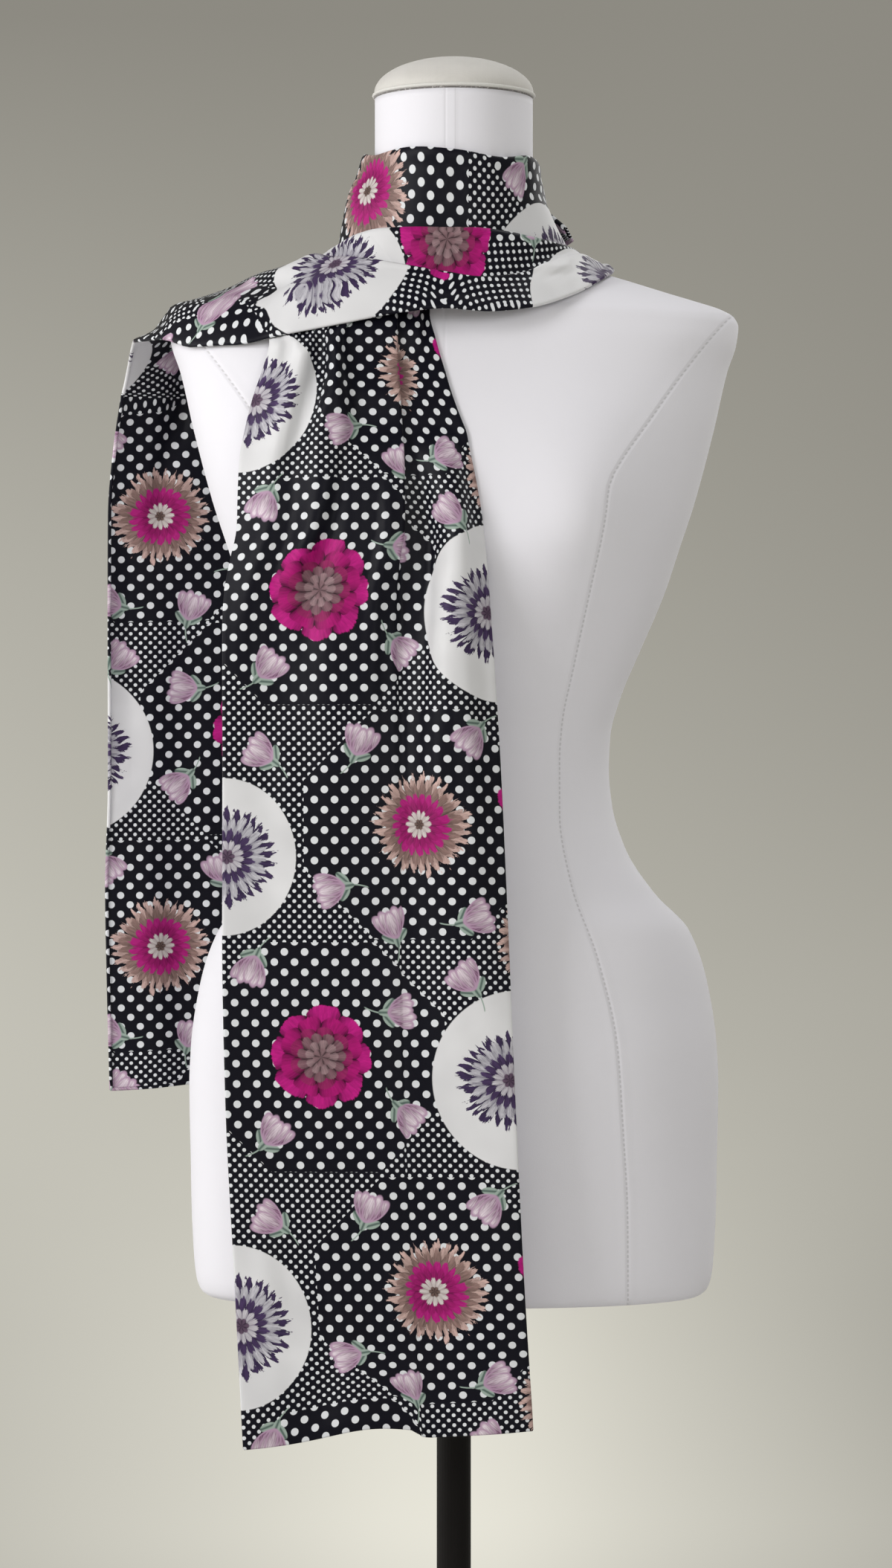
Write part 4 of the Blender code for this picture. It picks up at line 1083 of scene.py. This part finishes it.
def print_colour(across, along, across_from, along_from):
    tree = across.tree
    x, y = across * 1000.0 + across_from, along * 1000.0 + along_from
    x = x - (x / REPEAT_ACROSS + 0.12).whole() * REPEAT_ACROSS
    wrapped = y - (y / REPEAT).whole() * REPEAT
    # Big dots in eight-sided fields about the flowers, small ones between.
    big = None
    for across_at, along_at, half_wide, half_long in BIG_DOT_FIELDS:
        right, up = (x - across_at).size(), (wrapped - along_at).size()
        corner = (right + up) / (0.70 * (half_wide + half_long))
        reach = corner.most((right / half_wide).most(up / half_long))
        inside = reach.do("LESS_THAN", 1.0)
        big = inside if big is None else big.most(inside)
    cloth_dots = mixed(big, dots(x, wrapped, SMALL_PITCH), dots(x, wrapped, BIG_PITCH))
    colour = mixed(cloth_dots, GROUND, DOT)
    for across_at, along_at, radius, tall in PATCHES:
        apart = away_from(x - across_at, (wrapped - along_at) / tall)
        cloudy = noise(vector(tree, x * 0.02, wrapped * 0.02, 3.0), 1.0)
        patch = mixed(below(cloudy, 0.5, 0.3), PATCH, PATCH_SHADE)
        colour = mixed(below(apart, radius, 0.35), colour, patch)
    spot = vector(tree, x, wrapped, 0.0)
    node = tree.nodes.new("ShaderNodeGroup")
    node.node_tree = bud_group("bud")
    turned = [(across, along, math.radians(turn)) for across, along, turn in BUDS]
    colour = filled(node, *about_nearest(spot, turned, 24.0), colour)
    petals = petal_group("petals")
    for rings, places in FLOWERS:
        colour = flower(colour, spot, rings, places, petals)
    return colour


def silk_look(name, across_from, along_from):
    look, tree, shader = new_look(
        name, Roughness=0.42, Specular_IOR_Level=0.13, Sheen_Weight=0.015, Sheen_Roughness=0.35
    )
    whole, across, along, _ = carried(tree, "cloth")
    colour = print_colour(across, along, across_from, along_from)
    # Fine twill lines and a faint unevenness of the thread.
    twill = ((across + along) * (math.tau / TWILL_PITCH)).wave()
    slub = noise(whole, 900.0, detail=1.0)
    cloudy = noise(whole, 26.0, detail=2.0)
    colour = mixed(below(cloudy, 0.5, 0.5) * 0.10, colour, (0.0, 0.0, 0.0))
    finish_look(tree, shader, colour, twill * 0.35 + slub * 0.65, 0.00005, 0.6)
    return look


# The form and its stand

# Stitched seams of the form's cover, as height and distance from its middle.
FRONT_SEAM = metres(
    (),
    (769, 114.3), (828.4, 113.8), (890.8, 110.4), (940.6, 106.9), (997.6, 94.3),
    (1047.4, 76.7), (1092.8, 69.4), (1128.4, 69.4), (1150.8, 70.8), (1191.3, 78.7),
    (1240.6, 88.9), (1285.4, 98), (1308, 101), (1320, 107), (1352, 128.9),
    (1384, 151.3), (1419.6, 180), (1430, 190),
)
BACK_SEAM = metres(
    (),
    (769, 98), (870, 96), (960, 86), (1040, 70), (1120, 62),
    (1200, 68), (1290, 82), (1350, 106), (1400, 148), (1430, 175),
)
CENTRE_SEAM_X = -0.0060
STITCH_PITCH = 0.0032
WEAVE_PITCH = 0.0011  # of the cap
PIPING = 0.0011  # the cord's radius
ROUND_FINE, UP_FINE = 200, 230


def fine_ring(height):
    half_width, squareness, middle, half_depth = form_section(height)
    turns = np.linspace(0, 2 * math.pi, ROUND_FINE, endpoint=False)
    cos, sin = (
        np.sign(part) * np.abs(part) ** (2 / squareness) for part in (np.cos(turns), np.sin(turns))
    )
    x = half_width * cos
    y = middle + (half_depth + np.where(sin < 0, bust(x, height), 0)) * sin
    return np.stack([x, y, np.full_like(x, height)], axis=1)


def seam_places(points):
    """Signed distances from the panel seams and the middle seam, and the run along them."""
    x, y, z = points.T
    off = []
    for seam in (FRONT_SEAM, BACK_SEAM):
        place = smooth(z, *zip(*seam))
        slope = (smooth(z + 0.002, *zip(*seam)) - place) / 0.002
        off.append((np.abs(x) - place) / np.sqrt(1 + slope**2))
    return np.stack([np.where(y < 0.004, *off), x - CENTRE_SEAM_X, z], axis=1)


def make_form(look):
    table = [row[0] for row in FORM_SECTIONS]
    places = np.linspace(0, len(table) - 1, UP_FINE)
    grid = np.array([fine_ring(z) for z in np.interp(places, np.arange(len(table)), table)])
    mesh = mesh_of("dress_form_cover", grid, closed=True)
    capped(mesh)
    points = np.array([vertex.co for vertex in mesh.vertices])
    carry(mesh, "seams", seam_places(points))
    obj = add("dress_form_cover", mesh, look)
    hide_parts("form_body")


def cover_look():
    look, tree, shader = new_look(
        "cover_jersey", Roughness=0.72, Specular_IOR_Level=0.32, Sheen_Weight=0.12,
        Sheen_Roughness=0.5,
    )
    _, panel, middle, run = carried(tree, "seams")
    place = object_place(tree)
    _, _, height = parts_of(place)
    # Needle holes and thread along the panel seams.
    stitch = below((run * (math.tau / STITCH_PITCH)).wave() * -1.0, 0.25, 0.3)
    line = below(panel.size(), 0.00055, 0.0003)
    mid_line = below(middle.size(), 0.00050, 0.0003) * 0.28
    other_edge = below((middle - 0.0068).size(), 0.0004, 0.0003) * 0.18
    neck = below(height * -1.0, -1.462, 0.012)
    dark = line * (stitch * 0.34 + 0.07) + mid_line * (neck * 0.6 + 0.10) + other_edge * neck
    cloudy = noise(place, 7.0, detail=3.0)
    base = mixed(cloudy, (0.806, 0.798, 0.852), (0.856, 0.848, 0.902))
    colour = mixed(dark, base, (0.33, 0.32, 0.33))
    groove = below(panel.size(), 0.0012, 0.0011) * -1.0
    lip = below((panel.size() - 0.0046), 0.0, 0.0030) * 0.55
    tape = below((middle - 0.0034).size(), 0.0044, 0.0014) * neck * 0.5
    rise = groove + lip + tape + below(middle.size(), 0.0010, 0.0009) * -0.6
    knit = noise(place, 1500.0, detail=1.0) * 0.12 + noise(place, 90.0, detail=2.0) * 0.10
    finish_look(tree, shader, colour, rise + knit, 0.0006, 0.7)
    return look


def turned_grid(profile, steps, scale_y=1.0, centre=(0, 0, 0)):
    """(radius, height) points turned about +Z."""
    turns = np.linspace(0, 2 * math.pi, steps, endpoint=False)
    x, y, z = centre
    return np.array(
        [
            [(x + r * math.cos(t), y + scale_y * r * math.sin(t), z + h) for t in turns]
            for r, h in profile
        ]
    )


def make_cap(cap_look, piping_look):
    top = FORM_SECTIONS[-1]
    centre = (0, (top[2] + top[3]) / 2, top[0] + SEAM_GAP)

    def piece(name, profile, steps, look):
        mesh = mesh_of(name, turned_grid(profile, steps, CAP_DEPTH_SHARE, centre), closed=True)
        capped(mesh)
        return add(name, mesh, look)

    dome = [(CAP_RADIUS - 0.0010, 0.0), (CAP_RADIUS - 0.0004, 0.0016)]
    dome += [
        (CAP_RADIUS * math.cos(t), CAP_RIM + (CAP_RISE - CAP_RIM) * math.sin(t))
        for t in np.linspace(0, math.pi / 2, 26)[:-1]
    ]
    obj = piece("neck_cap", [*dome, (0.0012, CAP_RISE)], 96, cap_look)
    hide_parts("form_neck_cap")
    # A corded edge sewn round the cap's rim.
    cord = [
        (CAP_RADIUS + 0.0002 + PIPING * math.cos(t), 2 * PIPING + PIPING * math.sin(t))
        for t in np.linspace(-math.pi, math.pi, 15)
    ]
    rim = piece("neck_cap_piping", cord, 120, piping_look)


def cap_look():
    look, tree, shader = new_look(
        "cap_linen", Roughness=0.80, Specular_IOR_Level=0.3, Sheen_Weight=0.10
    )
    place = object_place(tree)
    x, y, z = parts_of(place)
    weave = [(part * (math.tau / WEAVE_PITCH)).wave() * 0.5 for part in (x, y)]
    weave = weave[0] + weave[1]
    cloudy = noise(place, 60.0, detail=3.0)
    fibre = noise(place, 900.0, detail=2.0)
    base = mixed(cloudy, (0.60, 0.585, 0.555), (0.70, 0.68, 0.65))
    # The dark line of stitching just under the rim.
    low = below((z - 1.5727).size(), 0.0006, 0.0003)
    base = mixed(low * below(fibre, 0.62, 0.1) * 0.85, base, (0.10, 0.09, 0.085))
    colour = mixed(weave.most(0.0) * 0.10, base, (0.45, 0.43, 0.41))
    finish_look(tree, shader, colour, weave * 0.4 + fibre * 0.6, 0.00012, 0.7)
    return look


def piping_look():
    look, tree, shader = new_look("piping_cotton", Roughness=0.7, Specular_IOR_Level=0.3)
    fibre = noise(object_place(tree), 700.0, detail=2.0)
    colour = mixed(fibre, (0.66, 0.65, 0.62), (0.78, 0.77, 0.74))
    finish_look(tree, shader, colour, fibre, 0.0002, 0.7)
    return look


def metal_look():
    look, tree, shader = new_look("black_enamel", Specular_IOR_Level=0.10)
    place = object_place(tree)
    grain = noise(place, 420.0, detail=2.0)
    wear = noise(place, 14.0, detail=3.0)
    put(tree, shader.inputs["Roughness"], wear * 0.16 + 0.42)
    colour = mixed(wear, (0.0045, 0.0040, 0.0036), (0.0105, 0.0090, 0.0085))
    finish_look(tree, shader, colour, grain, 0.00008, 0.5)
    return look


def make_stand(look):
    for node in ("stand_pole", "stand_base"):
        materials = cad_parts[node].data.materials
        materials.clear()
        materials.append(look)


# Room, light and camera

VIEW_AWAY, VIEW_HEIGHT = 3.2, 1.113
SENSOR, FRAME_HEIGHT = 36, 1.0545  # the frame's height at the stand
FLOOR, SWEEP, WALL_TOP = 13.0, 8.0, 24.0
# The colours that the far paper glows with near the floor and high up; the darker one high up is
# painted shade.
PAPER_LOW_LIT, PAPER_HIGH_SHADED = (0.615, 0.600, 0.530), (0.265, 0.254, 0.222)


def room_look():
    """Pale paper: lit by the lamps near the stand; far off it glows by itself with painted light,
    darker higher up and lighter towards -X, with a painted pool of light low down behind the
    stand.
    """
    look, tree, shader = new_look("studio_paper", Roughness=0.9, Specular_IOR_Level=0.2)
    place = object_place(tree)
    x, y, z = parts_of(place)
    away = away_from(x, y)
    cloudy = noise(place, 0.4, detail=2.0)
    # Painted shade: the paper's glow darkens with the angle at which it stands above the lens's
    # height.
    slope = (z - VIEW_HEIGHT) / (away + VIEW_AWAY)
    rise = (slope * slope * -2.086 + slope * 3.203 + 0.539).within(0.0, 1.0)
    side = (x / (away + VIEW_AWAY)).within(-0.12, 0.12)
    # A painted pool of light on the low paper behind the stand, which fades to both sides and is
    # brighter towards -X.
    patch = (side * side / 0.003 + 1.0).do("POWER", -2.0)
    spread = patch * 0.30 - side * side * 20.0 - side * 0.575
    strength = spread * below(rise, 0.26, 0.16) + 1.0
    # Painted light and shade: the glow is lighter towards -X and darker towards +X, most at middle
    # heights.
    side = side * rise * rise.from_(1.0) * 8.0
    shade = (rise + side + cloudy * 0.04 - 0.02).within(0.0, 1.0)
    colour = mixed(shade, PAPER_LOW_LIT, PAPER_HIGH_SHADED)
    put(tree, shader.inputs["Base Color"], (0.62, 0.61, 0.59))
    # The far paper's own glow is painted light that stands in for lamplight.
    painted_glow = filled(tree.nodes.new("ShaderNodeEmission"), colour, strength)
    blend = tree.nodes.new("ShaderNodeMixShader")
    lit = Term(tree, shader.outputs[0])
    surface = filled(blend, below(away * -1.0, -2.6, 1.4), lit, painted_glow)
    end = next(n for n in tree.nodes if n.type == "OUTPUT_MATERIAL")
    put(tree, end.inputs["Surface"], surface)
    return look


def make_room():
    """A floor that sweeps up into a wall all round."""
    floor = [(radius, 0.0) for radius in (0.25, 0.6, 1.2, 2.0, 3.0, 4.5, 7.0, 10.0, FLOOR)]
    sweep = [
        (FLOOR + SWEEP * math.sin(t), SWEEP - SWEEP * math.cos(t))
        for t in np.linspace(0, math.pi / 2, 25)[1:]
    ]
    grid = turned_grid(floor + sweep + [(FLOOR + SWEEP, WALL_TOP)], 96, centre=(0, 0, -0.0005))
    mesh = mesh_of("studio", grid[::-1], closed=True)
    capped(mesh, highest=1)
    obj = shown("studio", mesh, room_look())


# Lamps: name, place, what it points at, width, height, watts, colour
LAMPS = (
    ("key", (-2.7, -2, 2.4), (0, 0, 1.15), 1.3, 2, 66, (1, 0.99, 0.99)),
    ("front", (0.7, -3.3, 2.1), (0.1, 0, 1), 1.4, 1.2, 22.5, (1, 1, 1)),
    ("fill", (2.8, -2.2, 1.6), (0, 0, 1.1), 1.6, 2, 6, (0.98, 0.985, 1)),
    ("low_left", (-2.2, 0.3, 1.3), (0, 0, 1.2), 0.9, 1.4, 15, (1, 1, 1)),
    ("top", (1.1, 0.7, 3.2), (0.14, 0, 1.4), 0.8, 0.8, 14, (1, 1, 1)),
    ("behind", (1.4, 2.8, 2.2), (0, 0, 1.2), 1.8, 1.8, 14, (1, 1, 1)),
)


def make_lights():
    scene = bpy.context.scene
    for name, place, target, width, height, watts, colour in LAMPS:
        lamp = bpy.data.lights.new(name, "AREA")
        lamp.shape = "RECTANGLE"
        lamp.size, lamp.size_y = width, height
        lamp.energy, lamp.color = watts, colour
        obj = bpy.data.objects.new(name, lamp)
        obj.location = place
        x, y, z = np.array(target) - np.array(place)
        tilt, turn = math.atan2(math.hypot(x, y), -z), math.atan2(y, x) - math.pi / 2
        obj.rotation_euler = (tilt, 0, turn)
        obj.visible_camera = False
        scene.collection.objects.link(obj)
    scene.world = bpy.data.worlds.new("studio_air")
    scene.world.use_nodes = True
    air = scene.world.node_tree.nodes["Background"]
    air.inputs[0].default_value = (0.60, 0.60, 0.60, 1)
    air.inputs[1].default_value = 0.5
    scene.view_settings.view_transform = "Standard"


def make_camera():
    data = bpy.data.cameras.new("camera")
    data.sensor_width = SENSOR
    data.lens = SENSOR * VIEW_AWAY / FRAME_HEIGHT
    camera = bpy.data.objects.new("camera", data)
    camera.location = (-0.00525, -VIEW_AWAY, VIEW_HEIGHT)
    camera.rotation_euler = (math.pi / 2, 0, 0)
    bpy.context.scene.collection.objects.link(camera)
    bpy.context.scene.camera = camera


make_camera()
make_room()
make_lights()
make_form(cover_look())
make_cap(cap_look(), piping_look())
make_stand(metal_look())

band = silk_look("silk_neck", -15.0, 171.0)
panel = silk_look("silk_panel", 0.0, 20.0)
silk_piece(
    "silk_inner_turn", fine_inner_turn(), band, "scarf_inner_turn",
)
outer_grid, outer_flat = fine_outer_turn()
# The back end goes on from the outer turn's last profile, and so does its print.
ridge = slice(7 * 4, -ROLL_STEPS)
back_end, ridge_flat = fine_back_end(outer_grid[-1, ridge])
moved = rigid(outer_flat[-1, ridge], ridge_flat, outer_flat.reshape(-1, 2))
silk_piece(
    "silk_outer_turn", (outer_grid, moved), band, "scarf_outer_turn",
)
silk_piece(
    "silk_back_end", back_end, band, "scarf_back_end",
)
silk_piece(
    "silk_front_end", fine_front_end(), panel, "scarf_front_end",
)
